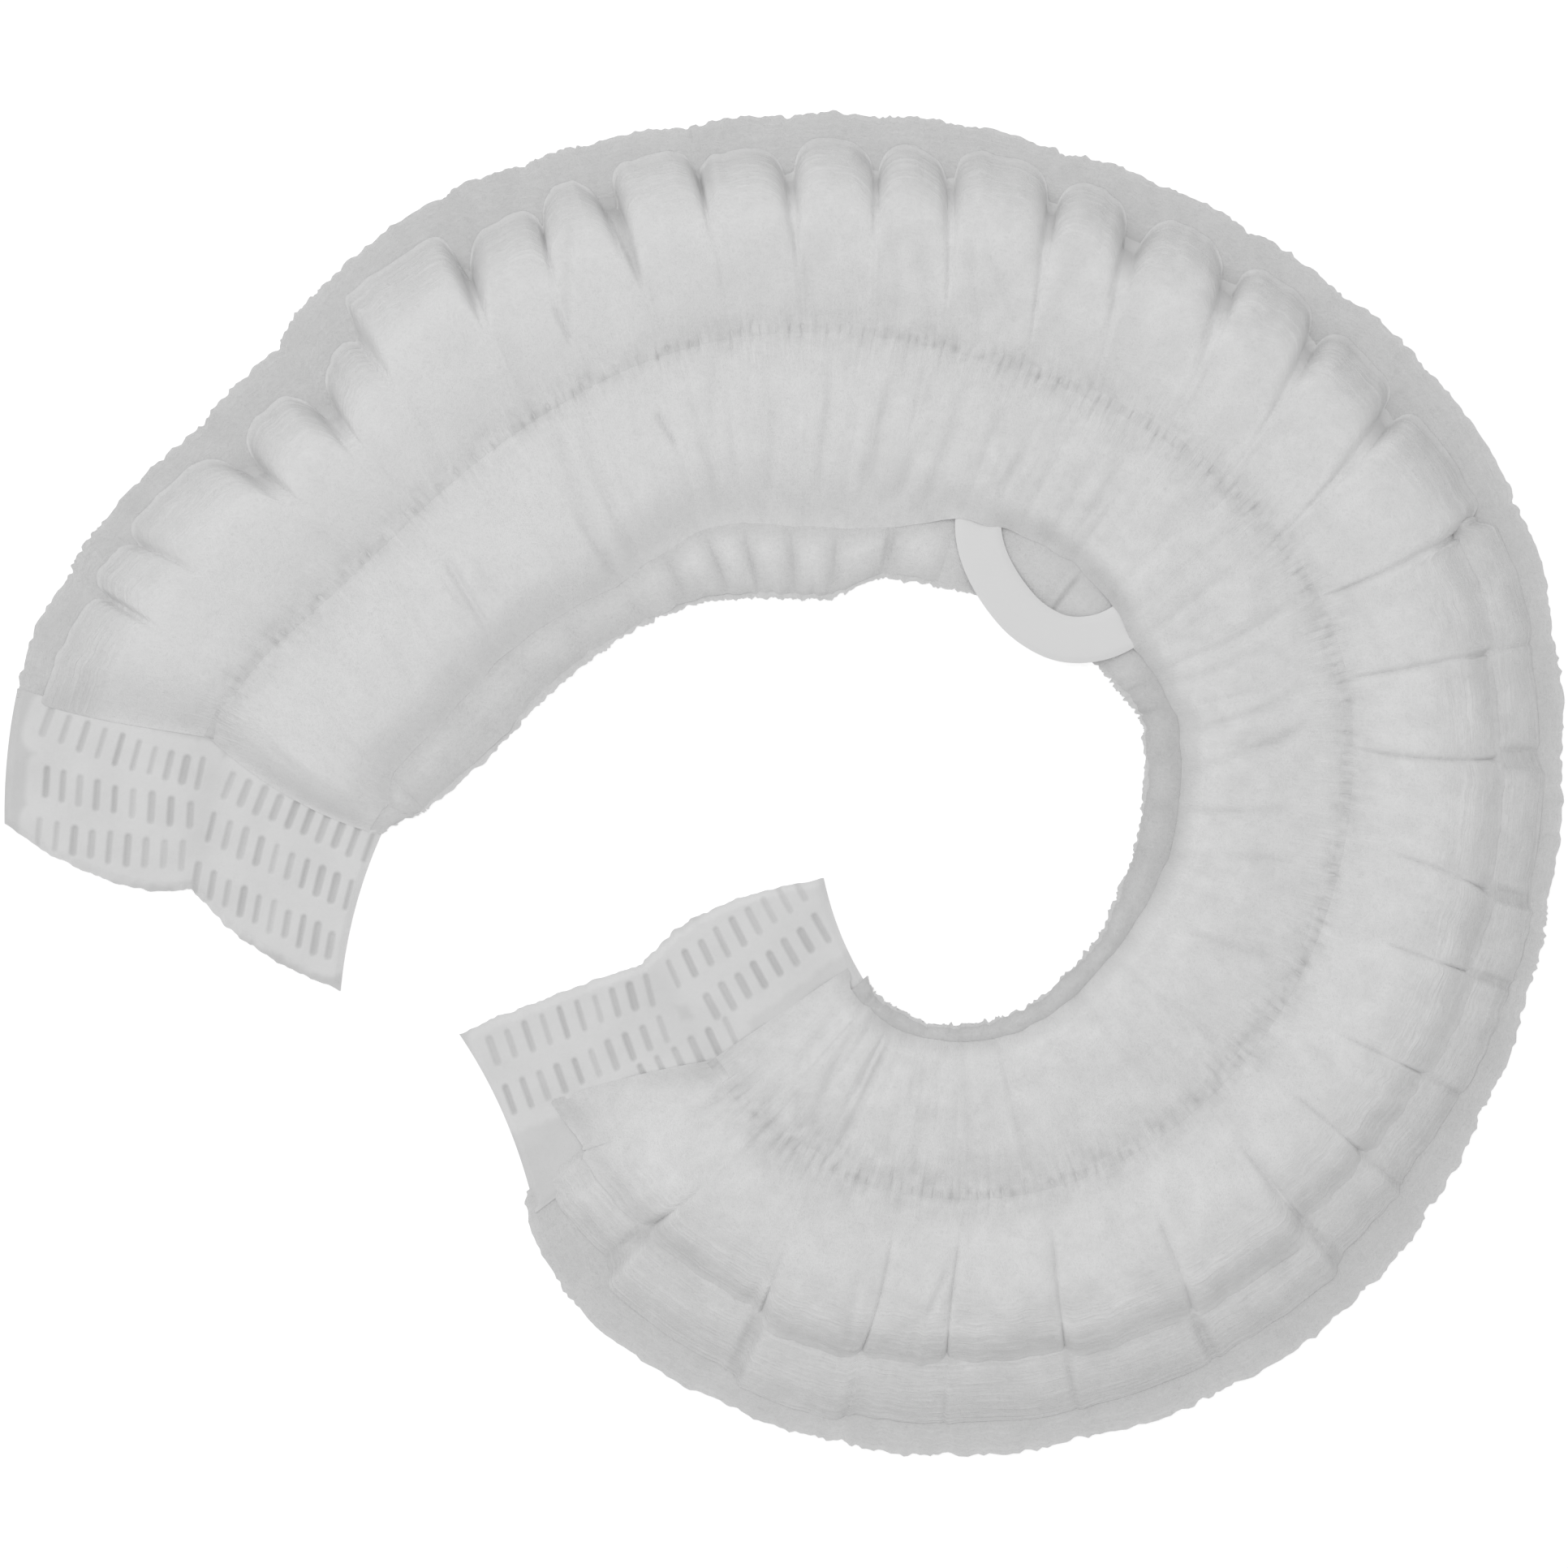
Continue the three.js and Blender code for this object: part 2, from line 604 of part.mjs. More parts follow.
const beardNet = new THREE.Group();
beardNet.add(
  piece('back_ply', backPly(), lowerClothColor, 0.9),
  piece('middle_ply', middlePly(), lowerClothColor, 0.9),
  piece('front_ply', frontPly(), clothColor, 0.9),
  piece('seam_elastic', seamElastic(), elasticColor, 0.85),
  piece('head_elastic', headElastic(), elasticColor, 0.7),
  piece('left_end_weld', weldedEnd(leftEnd, 0), weldColor, 0.6),
  piece('right_end_weld', weldedEnd(rightEnd, weldFold), weldColor, 0.6),
);

// The origin lies under the middle of the whole outline
const box = new THREE.Box3().setFromObject(beardNet);
const centre = box.getCenter(new THREE.Vector3());
for (const mesh of beardNet.children) mesh.position.set(-centre.x, -centre.y, -box.min.z);

export default beardNet;
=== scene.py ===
# Disposable beard net of gathered nonwoven cloth, curled into a C on a pale table.
# Lengths in the tables are millimetres; meshes are made in metres.
import bpy
import math
import numpy as np
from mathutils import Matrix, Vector


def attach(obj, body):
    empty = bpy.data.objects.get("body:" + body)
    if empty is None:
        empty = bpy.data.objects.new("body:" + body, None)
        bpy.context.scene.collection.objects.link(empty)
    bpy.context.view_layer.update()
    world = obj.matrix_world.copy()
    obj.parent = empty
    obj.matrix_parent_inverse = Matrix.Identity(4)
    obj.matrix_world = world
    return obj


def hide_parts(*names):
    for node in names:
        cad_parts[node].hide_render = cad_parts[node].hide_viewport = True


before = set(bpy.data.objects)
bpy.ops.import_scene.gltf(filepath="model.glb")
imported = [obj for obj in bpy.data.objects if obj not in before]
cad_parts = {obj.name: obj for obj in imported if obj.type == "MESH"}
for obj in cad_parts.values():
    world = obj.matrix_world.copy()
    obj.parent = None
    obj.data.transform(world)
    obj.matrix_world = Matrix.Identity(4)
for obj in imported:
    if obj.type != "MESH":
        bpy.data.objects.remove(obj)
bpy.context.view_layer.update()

mm = 0.001
print("frame loaded:", len(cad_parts), "nodes")


def tableOf(columns, rows):  # one array for each column
    return {name: np.array(values) for name, values in zip(columns, zip(*rows))}


# The strip: course of the seam, widths, and one row for each crease of the cloth
strip = {
    "length": 470.0,
    "outerWidth": 45.0,          # from the seam
    "innerWidth": 47.0,
    "start": (-102.354, -17.864),
    "heading": 97.0,
    "arcs": [  # share of the length, turn in degrees
        (0.05, -25), (0.05, -30), (0.07, 2), (0.08, -16), (0.10, -34), (0.10, -21), (0.08, -26),
        (0.07, -34), (0.08, -24.5), (0.10, -36.5), (0.10, -47.5), (0.07, -37.5), (0.05, -1),
    ],
    "columns": ["seam", "tip", "root", "lobe", "tier", "edge", "frill", "rim", "puff", "ruffle"],
    "folds": [
        (0.056, 0.049, 0.029, 0.64, 0.58, 0.75, 0.66, 0.71, 0.45, 0.5),
        (0.080, 0.077, 0.058, 0.66, 0.60, 0.77, 0.70, 0.81, 0.60, 0.8),
        (0.104, 0.090, 0.090, 0.69, 0.63, 0.79, 0.66, 0.83, 0.50, 1.0),
        (0.147, 0.134, 0.132, 0.72, 0.66, 0.80, 0.62, 0.84, 0.80, 0.9),
        (0.168, 0.174, 0.158, 0.68, 0.62, 0.82, 0.61, 0.82, 0.85, 1.0),
        (0.187, 0.194, 0.184, 0.66, 0.60, 0.88, 0.64, 0.84, 0.55, 0.9),
        (0.224, 0.236, 0.214, 0.80, 0.74, 0.90, 0.69, 0.86, 1.00, 0.8),
        (0.250, 0.260, 0.240, 0.72, 0.66, 0.86, 0.67, 0.89, 0.80, 0.7),
        (0.277, 0.276, 0.268, 0.75, 0.69, 0.84, 0.66, 0.94, 0.65, 1.0),
        (0.303, 0.302, 0.293, 0.74, 0.68, 0.81, 0.69, 0.97, 0.90, 1.0),
        (0.331, 0.327, 0.325, 0.70, 0.64, 0.81, 0.73, 1.00, 0.90, 1.0),
        (0.356, 0.350, 0.352, 0.73, 0.67, 0.82, 0.73, 0.99, 0.85, 1.0),
        (0.382, 0.372, 0.378, 0.73, 0.67, 0.84, 0.69, 0.88, 0.80, 0.9),
        (0.414, 0.404, 0.408, 0.76, 0.70, 0.83, 0.60, 0.86, 0.90, 0.0),
        (0.440, 0.431, 0.436, 0.75, 0.69, 0.84, 0.57, 0.83, 0.85, 0.0),
        (0.470, 0.460, 0.467, 0.75, 0.69, 0.84, 0.57, 0.80, 0.90, 0.0),
        (0.498, 0.488, 0.496, 0.75, 0.69, 0.84, 0.60, 0.81, 0.85, 0.0),
        (0.527, 0.518, 0.525, 0.73, 0.67, 0.86, 0.66, 0.80, 0.90, 0.0),
        (0.553, 0.553, 0.552, 0.73, 0.67, 0.86, 0.65, 0.79, 1.00, 0.3),
        (0.584, 0.584, 0.582, 0.60, 0.76, 0.83, 0.62, 0.75, 1.00, 0.3),
        (0.609, 0.612, 0.609, 0.58, 0.74, 0.82, 0.61, 0.74, 0.90, 0.3),
        (0.643, 0.650, 0.643, 0.60, 0.76, 0.83, 0.60, 0.73, 0.90, 0.3),
        (0.673, 0.673, 0.672, 0.62, 0.79, 0.85, 0.59, 0.72, 0.80, 0.3),
        (0.707, 0.703, 0.705, 0.64, 0.79, 0.88, 0.60, 0.71, 0.85, 0.3),
        (0.730, 0.730, 0.730, 0.62, 0.78, 0.93, 0.60, 0.68, 0.80, 0.3),
        (0.752, 0.754, 0.752, 0.62, 0.81, 0.97, 0.59, 0.67, 0.80, 0.3),
        (0.787, 0.791, 0.787, 0.68, 0.86, 0.98, 0.57, 0.64, 0.90, 0.3),
        (0.817, 0.823, 0.820, 0.67, 0.87, 0.98, 0.56, 0.63, 0.95, 0.3),
        (0.847, 0.852, 0.850, 0.64, 0.88, 1.00, 0.56, 0.62, 0.90, 0.3),
        (0.872, 0.873, 0.876, 0.66, 0.89, 1.00, 0.55, 0.61, 0.85, 0.3),
        (0.903, 0.898, 0.903, 0.68, 0.93, 1.00, 0.56, 0.62, 0.90, 0.3),
        (0.927, 0.932, 0.926, 0.62, 0.88, 1.01, 0.56, 0.62, 0.80, 0.3),
        (0.946, 0.959, 0.943, 0.62, 0.80, 0.87, 0.57, 0.64, 0.70, 0.3),
        (0.957, 0.980, 0.954, 0.59, 0.72, 0.80, 0.60, 0.64, 0.40, 0.3),
    ],
}
foldTable = tableOf(strip["columns"], strip["folds"])

# One row for each crease of the lobes: share of the reach from which it stands open, half gap
# at the tip, strength while closed, corner radius of the tips, half gap in the second tier
creases = {
    "columns": ["opens", "gap", "faint", "corner", "tierGap"],
    "rows": [
        (0.90, 0.0, 0.00, 1.0, 0.0),
        (0.86, 0.5, 0.00, 3.5, 0.0),
        (0.88, 0.2, 0.00, 3.0, 0.0),
        (0.62, 1.7, 0.00, 6.0, 0.0),
        (0.60, 1.5, 0.00, 6.0, 0.0),
        (0.85, 0.3, 0.00, 3.0, 0.0),
        (0.60, 0.9, 0.00, 6.0, 0.0),
        (0.70, 0.2, 0.03, 5.0, 0.0),
        (0.34, 1.4, 0.06, 5.0, 0.0),
        (0.68, 0.4, 0.02, 4.0, 0.0),
        (0.32, 1.0, 0.08, 5.0, 0.0),
        (0.58, 0.6, 0.12, 5.0, 0.0),
        (0.20, 0.9, 0.12, 5.0, 0.0),
        (0.12, 1.0, 0.15, 5.0, 0.0),
        (0.38, 1.6, 0.15, 6.0, 0.0),
        (0.45, 1.4, 0.12, 5.0, 0.0),
        (0.32, 1.2, 0.20, 4.5, 0.0),
        (0.12, 1.5, 0.30, 4.0, 0.0),
        (0.02, 0.4, 0.45, 1.2, 0.30),
        (0.02, 0.3, 0.50, 0.8, 0.15),
        (0.02, 0.2, 0.50, 0.8, 1.80),
        (0.30, 0.2, 0.15, 0.8, 1.20),
        (0.35, 0.1, 0.12, 0.8, 0.60),
        (0.35, 0.1, 0.12, 0.8, 0.25),
        (0.35, 0.2, 0.15, 0.8, 0.20),
        (0.30, 0.4, 0.15, 0.8, 0.60),
        (0.30, 0.3, 0.15, 0.8, 0.70),
        (0.20, 0.1, 0.15, 0.8, 0.30),
        (0.20, 0.1, 0.12, 0.8, 0.10),
        (0.20, 0.1, 0.12, 0.8, 0.10),
        (0.90, 0.1, 0.04, 1.0, 1.10),
        (0.85, 0.2, 0.04, 1.5, 1.10),
        (0.95, 0.0, 0.00, 0.6, 0.20),
        (0.95, 0.0, 0.00, 0.6, 0.00),
    ],
}
creaseTable = tableOf(creases["columns"], creases["rows"])
lastFold = len(strip["folds"]) - 1
weldFold = lastFold - 1


def smooth(x):
    c = np.clip(x, 0.0, 1.0)
    return c * c * (3 - 2 * c)


def mixed(a, b, x):
    return a + (b - a) * x


def layArcs():
    rows = []
    x, y = strip["start"]
    heading = math.radians(strip["heading"])
    begun = 0.0
    for share, turn in strip["arcs"]:
        turn = math.radians(turn)
        rows.append((begun, share, x, y, heading, turn))
        chord = share * strip["length"] * np.sinc(turn / (2 * math.pi))
        x += chord * math.cos(heading + turn / 2)
        y += chord * math.sin(heading + turn / 2)
        heading += turn
        begun += share
    return np.array(rows)


laidArcs = layArcs()


def stripPoint(along, across):
    inside = np.clip(along, 0, 1)
    k = np.clip(np.searchsorted(laidArcs[:, 0], inside, "right") - 1, 0, len(laidArcs) - 1)
    begun, share, x, y, heading, turn = np.moveaxis(laidArcs[k], -1, 0)
    gone = inside - begun
    turned = turn * gone / share
    chord = gone * strip["length"] * np.sinc(turned / (2 * math.pi))
    beyond = (along - inside) * strip["length"]
    end = heading + turned
    px = x + chord * np.cos(heading + turned / 2) + beyond * np.cos(end) - across * np.sin(end)
    py = y + chord * np.sin(heading + turned / 2) + beyond * np.sin(end) + across * np.cos(end)
    return px, py


def foldNumber(fold):
    return np.clip(np.floor(fold).astype(int), 0, lastFold - 1)


def foldValue(name, fold):  # straight between creases
    k = foldNumber(fold)
    column = foldTable[name]
    return mixed(column[k], column[k + 1], fold - k)


def reachOf(name, fold):  # distance from the seam in mm
    return foldValue(name, fold) * strip["innerWidth" if name in ("frill", "rim") else "outerWidth"]


def perFold(values, fold, soft=0.5):  # a value for each fold, running into the next one at the creases
    k = foldNumber(fold)
    t = fold - k
    before = values[np.maximum(k - 1, 0)]
    after = values[np.minimum(k + 1, lastFold - 1)]
    toBefore = 0.5 * (before - values[k]) * (1 - smooth(t / soft))
    toAfter = 0.5 * (after - values[k]) * (1 - smooth((1 - t) / soft))
    return values[k] + toBefore + toAfter


def ownValue(name, fold, soft=0.1):
    return perFold(foldTable[name][1:], fold, soft)


def ownReach(name, fold):
    return ownValue(name, fold) * strip["outerWidth"]


def byFold(table, fold):  # from pairs of fold and value
    return np.interp(fold, *zip(*table))


def softNoise(x, y, size, seed):  # smooth noise from -1 to 1 with cells of the given size
    table = np.random.default_rng(seed).uniform(-1, 1, (251, 251))
    u = np.asarray(x) / size + 40.3
    v = np.asarray(y) / size + 71.9
    i = np.floor(u).astype(int)
    j = np.floor(v).astype(int)
    a = smooth(u - i)
    b = smooth(v - j)
    at = lambda di, dj: table[(i + di) % 251, (j + dj) % 251]
    return mixed(mixed(at(0, 0), at(1, 0), a), mixed(at(0, 1), at(1, 1), a), b)


def lineNoise(place, size, seed):  # the same along one line
    return softNoise(place, 0 * place, size, seed)


def ridge(phase):  # sharp valleys at whole numbers, from 0 in the valley to 1
    return np.abs(np.sin(math.pi * phase))


def clothPoint(fold, across, bow=0.0):  # point of the cloth with the fold's lean
    out = across > 0
    lean = np.minimum(np.abs(across) / np.where(out, reachOf("lobe", fold), reachOf("frill", fold)), 1.0)
    end = np.where(out, foldValue("tip", fold), foldValue("root", fold))
    along = mixed(foldValue("seam", fold), end, lean) + bow * 4 * lean * (1 - lean) / strip["length"]
    return stripPoint(along, across)


def taper(fold, fromStart=10.0, fromEnd=15.0):  # share of the full height near the welded ends
    along = foldValue("seam", fold)
    begun = (along - foldTable["seam"][0]) * strip["length"]
    left = (foldTable["seam"][-1] - along) * strip["length"]
    return smooth(begun / fromStart) * smooth(left / fromEnd)


def plateFade(fold):  # from 0 on the welds up to 1
    return taper(fold, 6, 9)


def endShade(fold, dark):  # painted shade, darkest where the cloth goes down to the welds
    return dark * (1 - taper(fold, 5, 5))


def tailFade(fold):  # from 1 down to 0 where the second tier runs out at the weld
    return smooth((weldFold - fold) / 0.8)


def foldWidth(across):  # distance between the creases beside each fold, for each row of the grid
    numbers = np.arange(lastFold + 1, dtype=float)[:, None]
    x, y = clothPoint(numbers, across)
    return np.hypot(np.diff(x, axis=0), np.diff(y, axis=0))


def endWidths(name):  # the same at each fold's own tip
    reach = foldTable[name][1:, None] * strip["outerWidth"]
    return np.stack([foldWidth(row)[i] for i, row in enumerate(reach)])


def quarter(u):  # quarter circle from 0 to 1
    return np.sqrt(np.clip(1 - (1 - np.clip(u, 0, 1)) ** 2, 0, 1))


def settle(u, soft):  # from 1 down to 0, and the softer, the flatter at the foot
    u = np.clip(u, 0, 1)
    return (1 - soft) * (1 - u * u) + soft * (0.5 + 0.5 * np.cos(math.pi * u))


def columnsOf(last, perFoldCount):  # column of fold coordinates, closer together near the creases
    t = np.arange(perFoldCount) / perFoldCount
    t = 0.5 * t + 0.5 * (0.5 - 0.5 * np.cos(math.pi * t))
    return np.append(np.arange(last)[:, None] + t, float(last))[:, None]


def stacked(*parts):  # coordinates or marks of a grid
    return np.stack(np.broadcast_arrays(*parts), axis=-1)


def bothSides(inner, outer):  # one grid from the inner rim to the outer one
    return np.concatenate([inner[:, ::-1], outer], axis=1)


def creasesBeside(fold, widths):  # number and distance of both creases, and the width of the fold
    k = foldNumber(fold)
    t = fold - k
    width = widths[k[:, 0]]
    return ((k, width * t), (k + 1, width * (1 - t))), width


def markSharp(mesh, lines):  # edges that run along one numbered line of vertices keep a hard edge
    ends = np.empty(2 * len(mesh.edges), dtype=np.int32)
    mesh.edges.foreach_get("vertices", ends)
    line = lines[ends.reshape(-1, 2)]
    layer = mesh.attributes.new("sharp_edge", "BOOLEAN", "EDGE")
    layer.data.foreach_set("value", (line[:, 0] > 0) & (line[:, 0] == line[:, 1]))


def rimLines(columns, rows):  # the rims of the upper and the lower grid of a solid
    rim = np.ones((columns, rows), dtype=int)
    rim[1:-1, 1:-1] = 0
    return np.concatenate([rim.ravel(), 2 * rim.ravel()])


def makeMesh(name, points, quads, look, replaced, marks, lines):
    mesh = bpy.data.meshes.new(name)
    mesh.vertices.add(len(points))
    mesh.vertices.foreach_set("co", (points * mm).astype(np.float32).ravel())
    mesh.loops.add(4 * len(quads))
    mesh.loops.foreach_set("vertex_index", quads.astype(np.int32).ravel())
    mesh.polygons.add(len(quads))
    mesh.polygons.foreach_set("loop_start", np.arange(0, 4 * len(quads), 4, dtype=np.int32))
    mesh.polygons.foreach_set("use_smooth", np.full(len(quads), True))
    for key, values in marks.items():
        layer = mesh.attributes.new(key, "FLOAT_VECTOR", "POINT")
        layer.data.foreach_set("vector", values.astype(np.float32).ravel())
    mesh.update(calc_edges=True)
    mesh.validate()
    markSharp(mesh, lines)
    mesh.materials.append(materials[look])
    piece = bpy.data.objects.new(name, mesh)
    bpy.context.scene.collection.objects.link(piece)
    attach(piece, "root")
    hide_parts(*replaced)
    print("made", name, len(quads) * 2, "triangles")
    return piece


def gridQuads(columns, rows, first=0, flipped=False):
    i, j = np.meshgrid(np.arange(columns - 1), np.arange(rows - 1), indexing="ij")
    a = (first + i * rows + j).ravel()
    quads = np.stack([a, a + rows, a + rows + 1, a + 1], axis=1)
    return quads[:, ::-1] if flipped else quads


def closedGrid(top, bottom):  # points and faces of a solid between two grids
    columns, rows = top.shape[:2]
    count = columns * rows
    points = np.concatenate([top.reshape(-1, 3), bottom.reshape(-1, 3)])
    i = np.arange(columns - 1)
    j = np.arange(rows - 1)
    low = i * rows
    high = i * rows + rows - 1
    end = (columns - 1) * rows
    walls = [
        np.stack([low, low + count, low + rows + count, low + rows], axis=1),
        np.stack([high, high + rows, high + rows + count, high + count], axis=1),
        np.stack([j, j + 1, j + 1 + count, j + count], axis=1),
        np.stack([end + j, end + j + count, end + j + 1 + count, end + j + 1], axis=1),
    ]
    quads = np.concatenate([gridQuads(columns, rows), gridQuads(columns, rows, count, True), *walls])
    return points, quads


def makeSolid(name, top, floor, look, replaced, marks):  # closed down to the height floor
    bottom = top.copy()
    bottom[..., 2] = floor
    points, quads = closedGrid(top, bottom)
    if np.cross(top[1, 0, :2] - top[0, 0, :2], top[0, 1, :2] - top[0, 0, :2]) < 0:
        quads = quads[:, ::-1]
    marks = {key: np.concatenate([values.reshape(-1, 3)] * 2) for key, values in marks.items()}
    return makeMesh(name, points, quads, look, replaced, marks, rimLines(*top.shape[:2]))


def newMaterial(name):
    material = bpy.data.materials.new(name)
    material.use_nodes = True
    nodes = material.node_tree.nodes
    nodes.clear()
    out = nodes.new("ShaderNodeOutputMaterial")
    out.location = (900, 0)
    shader = nodes.new("ShaderNodeBsdfPrincipled")
    shader.location = (600, 0)
    material.node_tree.links.new(shader.outputs["BSDF"], out.inputs["Surface"])
    return material, material.node_tree, shader


def feed(tree, node, inputs):  # constants and links, by the names or numbers of the sockets
    for key, value in dict(inputs).items():
        if isinstance(value, bpy.types.NodeSocket):
            tree.links.new(value, node.inputs[key])
        else:
            node.inputs[key].default_value = value


def addNode(tree, kind, at, inputs=(), **settings):
    node = tree.nodes.new(kind)
    node.location = at
    for key, value in settings.items():
        setattr(node, key, value)
    feed(tree, node, inputs)
    return node


def mathNode(tree, operation, at, *values, clamp=False):
    settings = {"operation": operation, "use_clamp": clamp}
    return addNode(tree, "ShaderNodeMath", at, enumerate(values), **settings).outputs[0]


def newGroup(name, inputs, outputs):
    group = bpy.data.node_groups.new(name, "ShaderNodeTree")
    for label, value in inputs.items():
        socket = group.interface.new_socket(label, in_out="INPUT", socket_type="NodeSocketFloat")
        socket.default_value = value
    for label in outputs:
        group.interface.new_socket(label, in_out="OUTPUT", socket_type="NodeSocketFloat")
    start = addNode(group, "NodeGroupInput", (-1200, 0))
    return group, start.outputs, addNode(group, "NodeGroupOutput", (900, 0))


# Spun cloth: cloudy web density and crossing fibres, from the place in the object
def makeWebGroup():
    sizes = {"Cloud Size": 4.0, "Fibre Length": 1.6, "Fibre Width": 0.16}
    group, start, end = newGroup("spunWeb", sizes, ("Clouds", "Fibres"))
    place = addNode(group, "ShaderNodeTexCoord", (-1200, -300)).outputs["Object"]
    cloud = addNode(group, "ShaderNodeTexNoise", (-700, 250), {
        "Vector": place, "Scale": mathNode(group, "DIVIDE", (-950, 200), 1000.0, start["Cloud Size"]),
        "Detail": 4.0, "Roughness": 0.62})
    wide = mathNode(group, "DIVIDE", (-950, -50), 1000.0, start["Fibre Length"])
    fine = mathNode(group, "DIVIDE", (-950, -150), 1000.0, start["Fibre Width"])
    stretch = addNode(group, "ShaderNodeCombineXYZ", (-700, -80), {"X": wide, "Y": fine, "Z": wide})
    total = 0.0
    for turn in (12, 74, 131):
        y = -3 * turn
        turned = addNode(group, "ShaderNodeMapping", (-450, y), {
            "Vector": place, "Rotation": (0.0, 0.0, math.radians(turn))}, vector_type="POINT")
        scaled = addNode(group, "ShaderNodeVectorMath", (-250, y), {
            0: turned.outputs["Vector"], 1: stretch.outputs["Vector"]}, operation="MULTIPLY")
        strands = addNode(group, "ShaderNodeTexNoise", (-50, y), {
            "Vector": scaled.outputs["Vector"], "Scale": 1.0, "Detail": 1.0})
        off = mathNode(group, "SUBTRACT", (150, y), strands.outputs["Fac"], 0.5)
        apart = mathNode(group, "ABSOLUTE", (300, y), off)
        line = mathNode(group, "MULTIPLY_ADD", (450, y), apart, -9.0, 1.0, clamp=True)
        total = mathNode(group, "MAXIMUM", (620, y), total, line)
    feed(group, end, {"Clouds": cloud.outputs["Fac"], "Fibres": total})
    return group


# Fine creases that run along or across the strip, where the creaseMarks attribute asks for them; in the
# colour their lines are painted shade
def makeCreaseGroup():
    group, start, end = newGroup("fineCreases", {"Spacing": 1.0, "Run": 9.0}, ("Arcs", "Gathers", "Shade"))
    axes = []
    for key, y in (("stripPlace", -300), ("creaseMarks", -500)):
        read = addNode(group, "ShaderNodeAttribute", (-1200, y), attribute_name=key)
        split = addNode(group, "ShaderNodeSeparateXYZ", (-1000, y), {"Vector": read.outputs["Vector"]})
        axes.append(split.outputs)
    place, marks = axes
    dense = mathNode(group, "DIVIDE", (-1000, 150), 1.0, start["Spacing"])
    sparse = mathNode(group, "DIVIDE", (-1000, 50), 1.0, start["Run"])
    rows = (("Arcs", "Z", "X", "X", 200), ("Gathers", "X", "Y", "Y", -200))
    for label, fineAxis, longAxis, mark, y in rows:
        fine = mathNode(group, "MULTIPLY", (-750, y), place[fineAxis], dense)
        far = mathNode(group, "MULTIPLY", (-750, y - 120), place[longAxis], sparse)
        both = addNode(group, "ShaderNodeCombineXYZ", (-550, y), {"X": fine, "Y": far})
        waves = addNode(group, "ShaderNodeTexNoise", (-350, y), {
            "Vector": both.outputs["Vector"], "Scale": 1.0, "Detail": 2.0, "Roughness": 0.7})
        off = mathNode(group, "SUBTRACT", (-150, y), waves.outputs["Fac"], 0.5)
        size = mathNode(group, "ABSOLUTE", (0, y), off)
        line = mathNode(group, "MULTIPLY", (150, y), size, 5.0, clamp=True)
        thin = mathNode(group, "SUBTRACT", (300, y), 1.0, line)
        feed(group, end, {label: mathNode(group, "MULTIPLY", (500, y), thin, marks[mark])})
    # Shade passes on the painted shade and uneven tone stored in the attribute's Z
    feed(group, end, {"Shade": marks["Z"]})
    return group


webGroup = makeWebGroup()
creaseGroup = makeCreaseGroup()

# Light and dark tone, and how much clouds, arcs and gathers darken the cloth: clouds are the web's uneven
# tone, arcs and gathers are painted shade in fine creases
clothLooks = {
    "columns": ["light", "dark", "clouds", "arcs", "gathers", "roughness", "fibre"],
    "rows": {
        "cloth": (0.890, 0.600, 0.06, 0.20, 0.12, 0.88, 0.35),
        # lower cloth: the same web a little darker, partly painted shade of the plies under the front ply and
        # partly their thinner single layers
        "lowerCloth": (0.872, 0.560, 0.10, 0.16, 0.08, 0.90, 0.40),
        "seam": (0.860, 0.580, 0.08, 0.0, 0.15, 0.86, 0.30),
        "band": (0.850, 0.810, 0.10, 0.0, 0.0, 0.70, 0.05),
        "weld": (0.830, 0.470, 0.06, 0.0, 0.0, 0.60, 0.15),
    },
}


